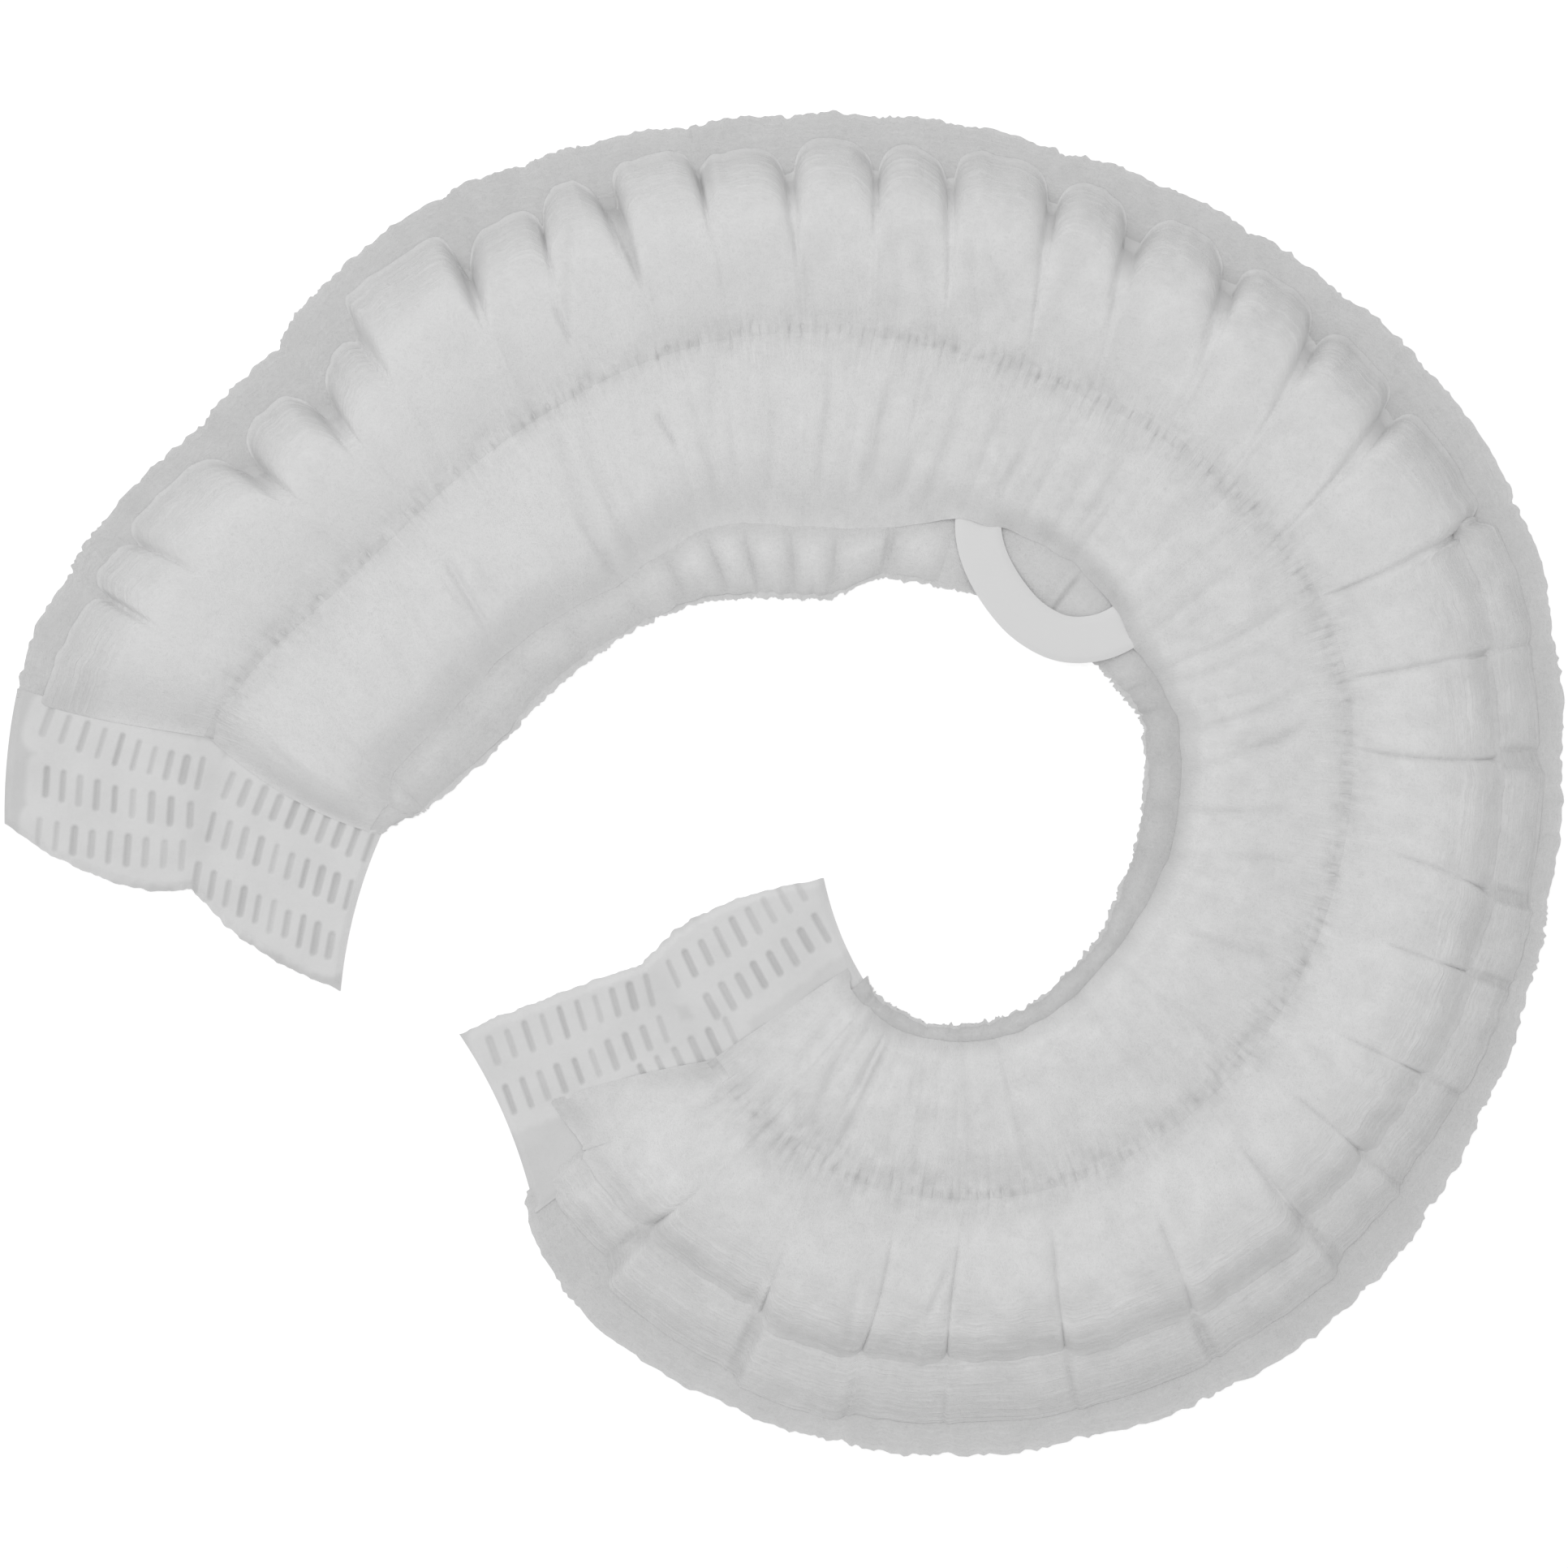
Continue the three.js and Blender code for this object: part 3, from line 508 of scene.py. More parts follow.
def clothMaterial(name, look):
    material, tree, shader = newMaterial(name)
    web = addNode(tree, "ShaderNodeGroup", (-900, 100), {
        "Cloud Size": 5.0, "Fibre Length": 2.2, "Fibre Width": 0.22}, node_tree=webGroup).outputs
    marks = addNode(tree, "ShaderNodeGroup", (-900, -250), {
        "Spacing": 1.1, "Run": 12.0}, node_tree=creaseGroup).outputs
    clouds = addNode(tree, "ShaderNodeMapRange", (-650, 250), {
        "Value": web["Clouds"], "From Min": 0.35, "From Max": 0.65, "To Min": look["clouds"], "To Max": 0.0})
    # arcs and gathers: painted shade of the fine creases
    arcs = mathNode(tree, "MULTIPLY", (-650, -150), marks["Arcs"], look["arcs"])
    gathers = mathNode(tree, "MULTIPLY", (-650, -320), marks["Gathers"], look["gathers"])
    lines = mathNode(tree, "ADD", (-450, -200), arcs, gathers)
    cloudsAndCreaseShade = mathNode(tree, "ADD", (-250, 100), clouds.outputs["Result"], lines)
    # the marks' Shade adds the painted shade and uneven tone worked out for each point
    factor = mathNode(tree, "ADD", (-50, 100), cloudsAndCreaseShade, marks["Shade"], clamp=True)
    light, dark = ((look[tone], look[tone], look[tone], 1) for tone in ("light", "dark"))
    color = addNode(tree, "ShaderNodeMix", (300, 150), {
        "Factor": factor, "A": light, "B": dark}, data_type="RGBA")
    rough = addNode(tree, "ShaderNodeMapRange", (300, -50), {
        "Value": web["Clouds"], "To Min": look["roughness"] - 0.06, "To Max": look["roughness"] + 0.06})
    strands = mathNode(tree, "MULTIPLY", (-450, -420), web["Fibres"], look["fibre"])
    sunk = mathNode(tree, "MULTIPLY", (-250, -300), lines, 6.0)
    depth = mathNode(tree, "SUBTRACT", (-50, -350), strands, sunk)
    bump = addNode(tree, "ShaderNodeBump", (300, -250), {
        "Height": depth, "Strength": 0.6, "Distance": 0.00016})
    feed(tree, shader, {
        "Base Color": color.outputs["Result"], "Roughness": rough.outputs["Result"],
        "Normal": bump.outputs["Normal"], "Sheen Weight": 0.08, "Sheen Roughness": 0.5,
        "Specular IOR Level": 0.25})
    return material


materials = {}
for name, row in clothLooks["rows"].items():
    materials[name] = clothMaterial(name, dict(zip(clothLooks["columns"], row)))
print("materials made")

plate = {"thickness": 1.3, "ridge": 0.7, "crown": 0.35}  # top of the welds, highest at the seam


def plateTop(away):  # away from the seam, from 0 to 1
    return plate["thickness"] + plate["ridge"] * (1 - away) + plate["crown"] * np.exp(-(away / 0.1) ** 2)


def endLevel(fold, across):  # where the cloth's ends lie on the welds
    crease = np.where(fold < lastFold / 2, 0, weldFold)
    edge = foldTable["edge"][crease] * strip["outerWidth"]
    rim = foldTable["rim"][crease] * strip["innerWidth"]
    half = np.where(across > 0, edge, rim)
    return plateTop(np.clip(np.abs(across) / half, 0, 1)) + frontPly["onPlate"]


# Front ply: puffed lobes outwards, gathers inwards, hem rolled under at both rims
frontPly = {
    "columnsPerFold": 34,
    "lobeRowsNear": 12,          # from the seam to lobeBreak
    "lobeRowsFar": 34,           # from there to the tips
    "lobeBreak": 0.55,
    "gatherRows": 36,
    "smallGathers": 110,
    "rimTop": 3.2,
    "rimTip": 0.92,              # lobe tips that lie on the back ply
    "rimEnd": 2.4,               # where the second tier runs out
    "tipTaper": (3, 9),          # from the welds, at both ends
    "innerLift": 0.12,           # inner rim above the middle ply
    "hem": ((0.1, 0.22), (0.9, 0.30)),  # turned under at both rims: inset and drop
    "groove": 4.7,
    "puffHeight": 8.9,
    "frillHeight": 5.0,
    "heightSpread": 0.05,        # from lobe to lobe
    "tiltSpread": 0.7,
    "bowSpread": 1.0,
    "channel": 0.8,              # half width left to the seam
    "tierStart": 17.9,           # fold from which the lobes lie on the second tier
    "tierLift": 3.2,
    "tierRoom": 0.35,            # puff lost above the second tier
    "loopLift": 1.5,             # over the ends of the head elastic, at these shares of the length
    "loopEnds": (0.416, 0.510),
    "sag": 0.28,
    "raggedTip": 0.3,
    "raggedRim": 0.35,
    "pleatDepth": 0.16,
    "pleatPitch": 2.1,
    "pleatReach": 14,            # from the tips
    "creaseDepth": 0.9,
    "creaseWidth": 0.55,
    "creaseRound": (1.6, 4.2),   # rounding beside the creases, at the seam and at the tips
    "gapDepth": 0.85,            # added depth for each millimetre of half gap
    "roundTips": np.repeat([0.42, 0.34, 0.32, 0.20], [6, 7, 5, 15]),  # share of a lobe that comes down
    "softTip": 0.65,             # how softly tips and inner rim come down
    "softRim": 0.65,
    "rimFrom": [(6, 0.76), (8, 0.60), (12, 0.60), (13.5, 0.80), (17, 0.85), (19, 0.84), (33, 0.86)],
    "onPlate": 0.08,             # height of its ends above the welds
    # painted shade in the gaps between the lobes, by fold
    "gapShade": [(5.4, 0.24), (6.5, 0.06), (7.4, 0.10), (8, 0.60), (8.6, 0.60), (9.5, 0.12), (11, 0.0),
                 (17, 0.0), (18, 0.22), (20, 0.22), (21.5, 0.12), (33, 0.12)],
    "gapEndShade": 0.20,         # painted shade added in the gaps at the tips of the first lobes
    # painted shade on the inner rim's slope, by fold
    "rimShade": [(0, 0.10), (6, 0.07), (8, 0.0), (13, 0.0), (16, 0.40), (33, 0.34)],
    # painted shade toward the lobe tips, in the pressed folds, in the pressed gathers and where the cloth
    # goes down to the welds
    "tipShade": 0.24,
    "foldShade": 0.15,
    "gatherShade": 0.22,
    "endShade": 0.16,
}

# Deeper folds pressed into the gathers: along and across at both ends, depth, half width
deepGathers = [
    (0.112, -7, 0.115, -17, 0.3, 0.9), (0.143, -11, 0.139, -25, 0.3, 0.9), (0.166, -10, 0.159, -23, 0.6, 0.8),
    (0.229, -5, 0.215, -32, 0.6, 1.5), (0.237, -8, 0.229, -32, 0.5, 1.3), (0.268, -10, 0.271, -16, 0.8, 0.6),
    (0.296, -5, 0.282, -25, 0.4, 1.3), (0.320, -13, 0.312, -27, 0.4, 1.4), (0.344, -10, 0.339, -27, 0.4, 1.5),
    (0.367, -9, 0.362, -27, 0.5, 1.6), (0.386, -13, 0.379, -27, 0.5, 1.7), (0.396, -5, 0.391, -27, 0.5, 1.5),
    (0.412, -7, 0.415, -15, 0.4, 1.4), (0.428, -13, 0.420, -21, 0.3, 1.4), (0.477, -12, 0.475, -23, 0.3, 1.6),
    (0.550, -2, 0.555, -19, 0.5, 1.2), (0.585, -7, 0.602, -27, 0.6, 1.5), (0.602, -8, 0.621, -27, 0.7, 1.4),
    (0.635, -9, 0.644, -28, 0.5, 1.5), (0.655, -8, 0.666, -28, 0.5, 1.2), (0.681, -11, 0.680, -25, 0.4, 1.2),
    (0.694, -5, 0.700, -19, 0.5, 0.9), (0.733, -4, 0.732, -14, 0.6, 0.8), (0.736, -9, 0.733, -25, 0.5, 1.2),
    (0.764, -6, 0.765, -25, 0.4, 1.2), (0.822, -3, 0.825, -25, 0.5, 1.1), (0.844, -3, 0.847, -26, 0.4, 1.1),
    (0.866, -2, 0.873, -25, 0.4, 1.0), (0.898, -5, 0.898, -22, 0.7, 1.1), (0.911, -4, 0.925, -25, 0.5, 1.4),
    (0.930, 0, 0.941, -23, 0.5, 1.4),
]
# The same in the lobes
deepFolds = [
    (0.372, 14, 0.380, 0, 0.5, 1.4), (0.389, 16, 0.396, 4, 0.5, 1.1), (0.395, 17, 0.407, 7, 0.4, 1.0),
    (0.261, 25, 0.249, 8, 0.3, 1.1), (0.248, 14, 0.249, 8, 0.9, 0.5), (0.359, 26, 0.367, 3, 0.3, 1.4),
    (0.305, 21, 0.303, 4, 0.2, 1.0), (0.715, 5, 0.720, 26, 0.5, 1.1), (0.749, 7, 0.754, 27, 0.5, 1.1),
    (0.769, 13, 0.767, 28, 0.4, 1.0), (0.798, 7, 0.799, 19, 0.4, 1.2), (0.850, 13, 0.854, 21, 0.6, 0.8),
    (0.880, 15, 0.877, 28, 0.4, 1.0), (0.619, 8, 0.625, 15, 0.3, 1.7), (0.172, 20, 0.178, 5, 0.2, 1.0),
]

# Crimps at the seam. Inward, outward and band: reach in mm at the shares of the length in along
seamCrimps = {
    "pitch": 1.9,
    "depth": 0.42,
    "middleDepth": 0.30,
    "spotDepth": 0.05,
    "spotRadius": 0.55,
    "spotless": 0.66,            # share of the crimps without a dark spot
    # painted shade in the crimps' valleys
    "crimpShade": 0.26,
    "spotShade": 0.32,
    "bandShade": 0.32,
    "along": [0.056, 0.11, 0.16, 0.30, 0.40, 0.50, 0.58, 0.68, 0.78, 0.86, 0.92, 0.957],
    "inward": [3.5, 4.5, 2.4, 3.0, 4.5, 4.0, 3.2, 3.0, 4.5, 6.0, 7.0, 6.0],
    "outward": [2.0, 2.0, 1.6, 1.6, 1.8, 2.0, 1.8, 2.6, 3.2, 4.0, 5.0, 4.0],
    "band": [4.2, 3.4, 2.4, 2.8, 2.7, 2.6, 2.6, 2.6, 3.6, 5.5, 7.0, 6.0],
}


def pressedLines(lines, along, across, lengthwise):
    depth = np.zeros(np.broadcast(along, across).shape)
    for alongA, acrossA, alongB, acrossB, deep, half in lines:
        share = (across - acrossA) / (acrossB - acrossA)
        middle = mixed(alongA, alongB, share)
        off = (along - middle) * lengthwise
        near = (np.abs(off) < 4 * half) & (share > -0.3) & (share < 1.3)
        fade = smooth((share + 0.15) / 0.3) * smooth((1.2 - share) / 0.35)
        depth += np.where(near, deep * np.exp(-(off / half) ** 2) * fade, 0.0)
    return depth


def seamCrimp(along, across):  # depth of the crimps drawn in by the elastic, and how dark they are: painted shade in their valleys, a blotchy darker band along the seam and dark spots
    spec = seamCrimps
    s = along * strip["length"]
    own = np.random.default_rng(7).uniform(0, 1, (5, 401))
    lean = 0.25 * lineNoise(s, 9, 55)
    phase = (s + lean * across) / spec["pitch"] + 0.6 * lineNoise(s, 7, 51)
    phase = phase + 0.12 * softNoise(s, across, 2.2, 56)
    nearest = np.rint(phase).astype(int)
    strong, inward, outward, spotted, offset = (row[nearest % 401] for row in own)
    reach = lambda name: np.interp(along, spec["along"], spec[name])
    runIn = reach("inward") * (0.35 + 0.9 * inward)
    run = np.where(across < 0, runIn, reach("outward") * (0.35 + 0.9 * outward))
    fade = np.exp(-(np.abs(across) / run) ** 2)
    sharp = 1 - ridge(phase)
    gone = (phase - nearest) * spec["pitch"]
    aside = across - 1.2 * (offset - 0.6)
    spot = np.exp(-(gone ** 2 + aside ** 2) / spec["spotRadius"] ** 2) * (spotted > spec["spotless"])
    strong = 0.25 + 0.75 * strong
    depth = spec["depth"] * strong * sharp ** 2 * fade + spec["spotDepth"] * spot
    depth = depth + spec["middleDepth"] * np.exp(-(across / 1.0) ** 2)
    blotch = 0.55 + 0.55 * softNoise(s, across * 1.3, 2.4, 57) + 0.40 * softNoise(s, across, 1.0, 58)
    band = np.exp(-(across / reach("band")) ** 2) * np.clip(blotch, 0, 1.5)
    # painted shade in the crimps' valleys, added to the darker band
    dark = spec["bandShade"] * band + spec["crimpShade"] * strong * sharp ** 2.5 * fade
    return depth, dark + spec["spotShade"] * spot


def creaseDrop(fold, r, widths):  # depth of the creases on both sides of each point, and the painted shade in them
    beside, width = creasesBeside(fold, widths)
    rounding = np.minimum(mixed(*frontPly["creaseRound"], smooth(r)), 0.45 * width)
    depth = 0
    dark = 0
    for crease, away in beside:
        opens, gap, faint = (creaseTable[name][crease] for name in ("opens", "gap", "faint"))
        half = gap * np.clip((r - opens) / (1 - opens), 0, 1)
        strength = faint + (1 - faint) * smooth((r - opens) / 0.2)
        strength = strength * smooth(r / 0.08)
        wall = quarter((away - half) / rounding)
        depth = depth + strength * (frontPly["creaseDepth"] + frontPly["gapDepth"] * half) * (1 - wall)
        # painted shade in the creases and their open gaps
        dark = dark + strength * np.exp(-(np.maximum(away - half, 0) / frontPly["creaseWidth"]) ** 2)
    return depth, dark


def cornerCut(fold, widths, names, reachDown):  # how far the tips draw back at the creases
    cut = 0
    for crease, away in creasesBeside(fold, widths)[0]:
        gap, corner = (creaseTable[name][crease] for name in names)
        cut = cut + corner * reachDown * (1 - quarter((away - gap) / np.maximum(corner, 0.2)))
    return cut


def mottle(along, x, y):  # uneven cloth, stronger from the top of the curl on
    size = np.interp(along, [0.25, 0.42, 1.0], [0.25, 1.0, 1.0])
    return size * (0.07 + 0.10 * softNoise(x, y, 3.6, 91) + 0.08 * softNoise(x, y, 1.4, 92))


def addHem(points, place, marks, fold, reach, level, lift, bow=0.0):  # reach is below zero inwards
    hem = []
    for inset, below in frontPly["hem"]:
        x, y = clothPoint(fold, reach - inset * np.sign(reach), bow)
        hem.append(stacked(x, y, level - below + lift))
    hem = np.concatenate(hem, axis=1)
    return [np.concatenate(pair, axis=1) for pair in ((points, hem), (place, 0 * hem), (marks, 0 * hem))]


def makeLobes(fold, bow, rng):
    spec = frontPly
    near = np.linspace(0, spec["lobeBreak"], spec["lobeRowsNear"], endpoint=False)
    far = np.linspace(spec["lobeBreak"], 1, spec["lobeRowsFar"])
    r = np.concatenate([near, far])[None, :]
    t = fold - foldNumber(fold)
    heightOf = 1 + rng.uniform(-spec["heightSpread"], spec["heightSpread"], lastFold)
    tiltOf = rng.uniform(-spec["tiltSpread"], spec["tiltSpread"], lastFold)
    high = taper(fold)
    kept = tailFade(fold)
    onTier = smooth((fold - spec["tierStart"]) / 0.2)
    lifted = onTier * spec["tierLift"] * high * kept
    reach = ownReach("lobe", fold) - cornerCut(fold, endWidths("lobe"), ("gap", "corner"), 1.0)
    reach = reach + spec["raggedTip"] * mixed(0.2, 1.0, kept) * lineNoise(fold * 9, 1.0, 3)
    across = mixed(spec["channel"], reach, r)
    rim = mixed(endLevel(fold, across), spec["rimTop"], plateFade(fold))
    tipTop = mixed(spec["rimTip"], mixed(spec["rimEnd"], spec["rimTop"], kept), onTier)
    tipLevel = mixed(endLevel(fold, reach), tipTop, taper(fold, *spec["tipTaper"]))
    x, y = clothPoint(fold, across, bow)
    along = foldValue("seam", fold) + 0 * r
    tip = perFold(spec["roundTips"], fold)
    rise = 0.6 * (1 - np.clip(1 - r / 0.6, 0, 1) ** 2) + 0.4 * smooth(r / 0.6)
    crown = rise * settle((r - 1 + tip) / tip, spec["softTip"])
    drop, dark = creaseDrop(fold, r, foldWidth(np.mean(foldTable["lobe"]) * strip["outerWidth"] * r))
    puff = ownValue("puff", fold, 0.5) * perFold(heightOf, fold)
    outwards = smooth((r - 0.3) / 0.7)
    base = mixed(rim, tipLevel, smooth((r - 0.8) / 0.2)) + lifted * outwards
    room = 1 - onTier * spec["tierRoom"] * outwards
    z = base + high * (spec["groove"] * (1 - r) + spec["puffHeight"] * room * puff * crown)
    z = z + high * crown * perFold(tiltOf, fold) * (t - 0.5) * 4 * t * (1 - t)
    z = z + high * crown * spec["sag"] * (softNoise(x, y, 9, 21) + 0.5 * softNoise(x, y, 4, 22))
    pressed = pressedLines(deepFolds, along, across, strip["length"] * 1.2)
    z = z - high * (drop + pressed)
    fromTip = reach - across
    solid = 1 - np.clip(1.4 * dark, 0, 1)
    arcs = smooth((fromTip - 0.2) / 1.0) * smooth((spec["pleatReach"] - fromTip) / 9)
    arcs = arcs * solid * mixed(0.3, 1, kept)
    wander = softNoise(along * 90 + 3 * np.floor(fold), fromTip * 0.1, 1.0, 31)
    phase = fromTip / spec["pleatPitch"] + 0.8 * wander
    z = z - high * spec["pleatDepth"] * arcs * (1 - ridge(phase)) * (0.6 + 0.5 * softNoise(x, y, 6, 33))
    crimp, crimpDark = seamCrimp(along, across)
    z = np.maximum(z - high * crimp, base - 0.1)
    # painted shade in the gaps between the lobes, more at the tips of the first lobes, in the seam's crimps
    # and in the pressed deep folds
    gapShade = byFold(spec["gapShade"], fold)
    gapShade = gapShade + spec["gapEndShade"] * smooth((r - 0.9) / 0.08) * smooth(6.5 - fold)
    shade = gapShade * dark * kept + crimpDark + spec["foldShade"] * pressed
    # painted shade toward the tips, where the lobes come down, and where the cloth goes down to the welds;
    # mottle is the cloth's uneven tone
    shade = shade + spec["tipShade"] * smooth((r - 1 + 1.1 * tip) / (0.8 * tip))
    shade = shade + endShade(fold, spec["endShade"]) + mottle(along, x, y)
    place = stacked(along * strip["length"], across, fromTip)
    marks = stacked(arcs, 0.8 * smooth((9 - across) / 7), shade)
    return addHem(stacked(x, y, z), place, marks, fold, reach, tipLevel, lifted, bow)


def makeGathers(fold, rng):
    spec = frontPly
    t = fold - foldNumber(fold)
    q = np.linspace(0, 1, spec["gatherRows"])[None, :]
    high = taper(fold)
    reach = reachOf("frill", fold) + spec["raggedRim"] * lineNoise(fold * 3.1, 1.0, 5)
    inward = mixed(spec["channel"], reach, q)
    x, y = clothPoint(fold, -inward)
    root = foldValue("root", fold)
    along = mixed(foldValue("seam", fold), root, q)
    rimFrom = byFold(spec["rimFrom"], fold)
    up = 0.5 * (1 - np.clip(1 - q / 0.70, 0, 1) ** 2) + 0.5 * smooth(q / 0.7)
    down = settle((q - rimFrom) / (1 - rimFrom), spec["softRim"])
    crown = up * down
    strength = perFold(rng.uniform(0.3, 0.9, lastFold), fold)
    valley = np.exp(-((0.5 - np.abs(t - 0.5)) / 0.10) ** 2) + 0.6 * np.exp(-((t - 0.5) / 0.09) ** 2)
    full = crown * (1 - 0.12 * strength * valley * smooth((q - 0.15) / 0.3))
    loop = sum(np.exp(-((root - end) / 0.014) ** 2) for end in spec["loopEnds"])
    begun = plateFade(fold)
    rim = mixed(endLevel(fold, -inward), spec["rimTop"], begun)
    start, end = ruffleRows(fold)
    below = ruffleLevel(middlePly["top"], middlePly["tucked"] / (end - start))
    edgeLevel = mixed(endLevel(fold, -reach), below + spec["innerLift"], begun)
    base = mixed(rim, edgeLevel, smooth((q - 0.7) / 0.3)) + spec["loopLift"] * loop * q
    z = base + high * (spec["groove"] * (1 - q) + spec["frillHeight"] * full)
    z = z + high * full * spec["sag"] * (softNoise(x, y, 8, 41) + 0.5 * softNoise(x, y, 3.5, 42))
    pressed = pressedLines(deepGathers, along, -inward, strip["length"])
    for number in range(spec["smallGathers"]):
        centre = rng.uniform(0, lastFold)
        half = rng.uniform(0.03, 0.09)
        begin = rng.uniform(0.0, 0.5)
        end = begin + rng.uniform(0.3, 0.6)
        off = (fold - centre - rng.uniform(-0.2, 0.2) * q) / half
        size = rng.uniform(0.05, 0.25) * np.exp(-off ** 2)
        pressed = pressed + size * smooth((q - begin) / 0.15) * smooth((end - q) / 0.15)
    crimp, crimpDark = seamCrimp(along, -inward)
    z = z - high * smooth(crown * 3) * pressed - high * crimp
    # painted shade on the inner rim's slope, in the pressed gathers, in the seam's crimps and where the cloth
    # goes down to the welds; mottle is the cloth's uneven tone
    rimShade = byFold(spec["rimShade"], fold)
    shade = crimpDark + spec["gatherShade"] * pressed + rimShade * (1 - down) ** 0.8
    shade = shade + endShade(fold, spec["endShade"]) + mottle(along, x, y)
    place = stacked(along * strip["length"], -inward, reach - inward)
    marks = stacked(0, 0.35 + 0.65 * smooth((10 - inward) / 8), shade)
    return addHem(stacked(x, y, z), place, marks, fold, -reach, edgeLevel, spec["loopLift"] * loop)


def makeFrontPly():
    rng = np.random.default_rng(11)
    fold = columnsOf(lastFold, frontPly["columnsPerFold"])
    bows = rng.uniform(-frontPly["bowSpread"], frontPly["bowSpread"], lastFold + 1)
    bow = np.interp(fold, np.arange(lastFold + 1), bows)
    outer = makeLobes(fold, bow, rng)
    inner = makeGathers(fold, rng)
    points, place, marks = (bothSides(*pair) for pair in zip(inner, outer))
    columns, rows = points.shape[:2]
    hemmed = len(frontPly["hem"])
    turned = np.zeros((columns, rows), dtype=int)
    turned[:, hemmed] = 1
    turned[:, rows - 1 - hemmed] = 2
    marks = {"stripPlace": place.reshape(-1, 3), "creaseMarks": marks.reshape(-1, 3)}
    quads = gridQuads(columns, rows)
    points = points.reshape(-1, 3)
    return makeMesh("front_cloth", points, quads, "cloth", ("front_ply",), marks, turned.ravel())


# Middle ply: second tier beyond the lobes, ruffles inside the gathers
middlePly = {
    "columnsPerFold": 28,
    "top": 2.3,
    "endLevel": 1.3,
    "thickness": 0.7,
    "edgeLevel": 1.05,
    "tucked": 3.0,               # hidden under the front ply's inner rim
    "tierHeight": 4.1,
    "ruffleHeight": 2.8,
    "tierRows": 18,
    "ruffleRows": 14,
    "tierCrease": 0.8,
    "tierRound": 2.2,            # rounding beside its creases
    "overlap": 5.5,              # hidden under the lobes
    "gapDepth": 1.0,             # added depth of the open gaps
    "leastTier": 3.0,            # least width
    "leastRuffle": 3.5,
    "softTip": 0.6,
    "sag": 0.15,
    "raggedTier": 0.25,
    "raggedRuffle": 0.3,
    "pleatDepth": 0.12,
    "pleatPitch": 1.7,
    "ruffles": [(0, 0.45), (6, 0.5), (7.5, 1.0), (12.5, 1.0), (13.5, 0.5)],  # share of their height
    # painted shade on the flat inner margin and inside the elastic loop, by fold
    "flatShade": [(0, 0.20), (6, 0.14), (7.5, 0.0), (12.5, 0.0), (13.5, 0.20), (17, 0.28), (18.5, 0.56),
                  (33, 0.48)],
    "ruffleShade": (0.30, 0.10),  # painted shade between the ruffles' puffs: where the ruffles stand high, and elsewhere
    # painted shade where the ply shows only in the gaps between the lobes, where the tier comes down, and in
    # the tier's creases
    "hiddenShade": 0.28,
    "tipShade": 0.05,
    "creaseShade": 0.22,
    "mottle": 0.7,
}
lensFold = [(0.473, -36.5, 0.4745, -28.5, 0.9, 0.8)]  # fold of the ply seen inside the elastic loop, sunk and darkened as painted shade


def ruffleRows(fold):  # where the inner ruffle of the middle ply starts and ends
    start = reachOf("frill", fold) - middlePly["tucked"]
    margin = mixed(foldValue("frill", fold), foldValue("rim", fold), 0.93) * strip["innerWidth"]
    return start, np.maximum(margin, start + middlePly["leastRuffle"])


def ruffleLevel(level, g):  # its height without the ruffle
    return mixed(level, np.minimum(level, middlePly["edgeLevel"]), smooth((g - 0.55) / 0.45))


def makeTier(fold, high, level):
    spec = middlePly
    t = fold - foldNumber(fold)
    lobeReach = ownReach("lobe", fold)
    tierReach = ownReach("tier", fold)
    shown = np.where(tierReach > lobeReach, 1.0, 0.0)
    widths = endWidths("tier")
    q = np.linspace(0, 1, spec["tierRows"])[None, :]
    cut = cornerCut(fold, widths, ("tierGap", "corner"), 0.5)
    notch = cornerCut(fold, widths, ("gap", "corner"), 1.0)  # keeps it out of the gaps between the lobes
    tierGap = creaseTable["tierGap"]
    away = np.minimum(*(off - tierGap[crease] for crease, off in creasesBeside(fold, widths)[0]))
    gapHere = np.where(t < 0.5, tierGap[foldNumber(fold)], tierGap[foldNumber(fold) + 1])
    firm = smooth(gapHere / 0.4)
    tierEnd = tierReach - shown * cut - (1 - shown) * notch
    tierEnd = tierEnd + spec["raggedTier"] * lineNoise(fold * 8, 1.0, 61)
    tierStart = np.minimum(lobeReach - spec["overlap"], tierEnd - spec["leastTier"])
    across = mixed(tierStart, tierEnd, q)
    x, y = clothPoint(fold, across)
    full = settle((q - 0.50) / 0.50, spec["softTip"]) * smooth((across - tierStart) / 2.5)
    edge = quarter(np.maximum(away, 0) / spec["tierRound"])
    edgeBase = mixed(level, np.minimum(level, spec["edgeLevel"]), smooth((q - 0.7) / 0.3))
    deep = spec["tierCrease"] * firm + spec["gapDepth"] * smooth((gapHere - 0.3) / 0.5)
    deep = deep * smooth((across - lobeReach - 0.3) / 2.5)  # closed under the lobes' rim
    z = edgeBase + shown * high * full * (spec["tierHeight"] - deep * (1 - edge))
    z = z + shown * high * full * spec["sag"] * softNoise(x, y, 5, 62)
    fromTip = tierEnd - across
    phase = fromTip / spec["pleatPitch"] + 0.8 * softNoise(x, y, 7, 63)
    z = z - shown * spec["pleatDepth"] * full * (1 - ridge(phase))
    creased = firm * np.exp(-(np.maximum(away, 0) / 0.6) ** 2)
    # painted shade where the tier comes down and in its creases, and on the part seen only in the gaps
    # between the lobes; mottle is the cloth's uneven tone
    shade = (spec["tipShade"] * (1 - full) + spec["creaseShade"] * creased) * shown
    shade = spec["hiddenShade"] * (1 - shown) + shade + spec["mottle"] * mottle(1, x, y)
    place = stacked(foldValue("seam", fold) * strip["length"], across, fromTip)
    return stacked(x, y, z), place, stacked(1, 0.3, shade)


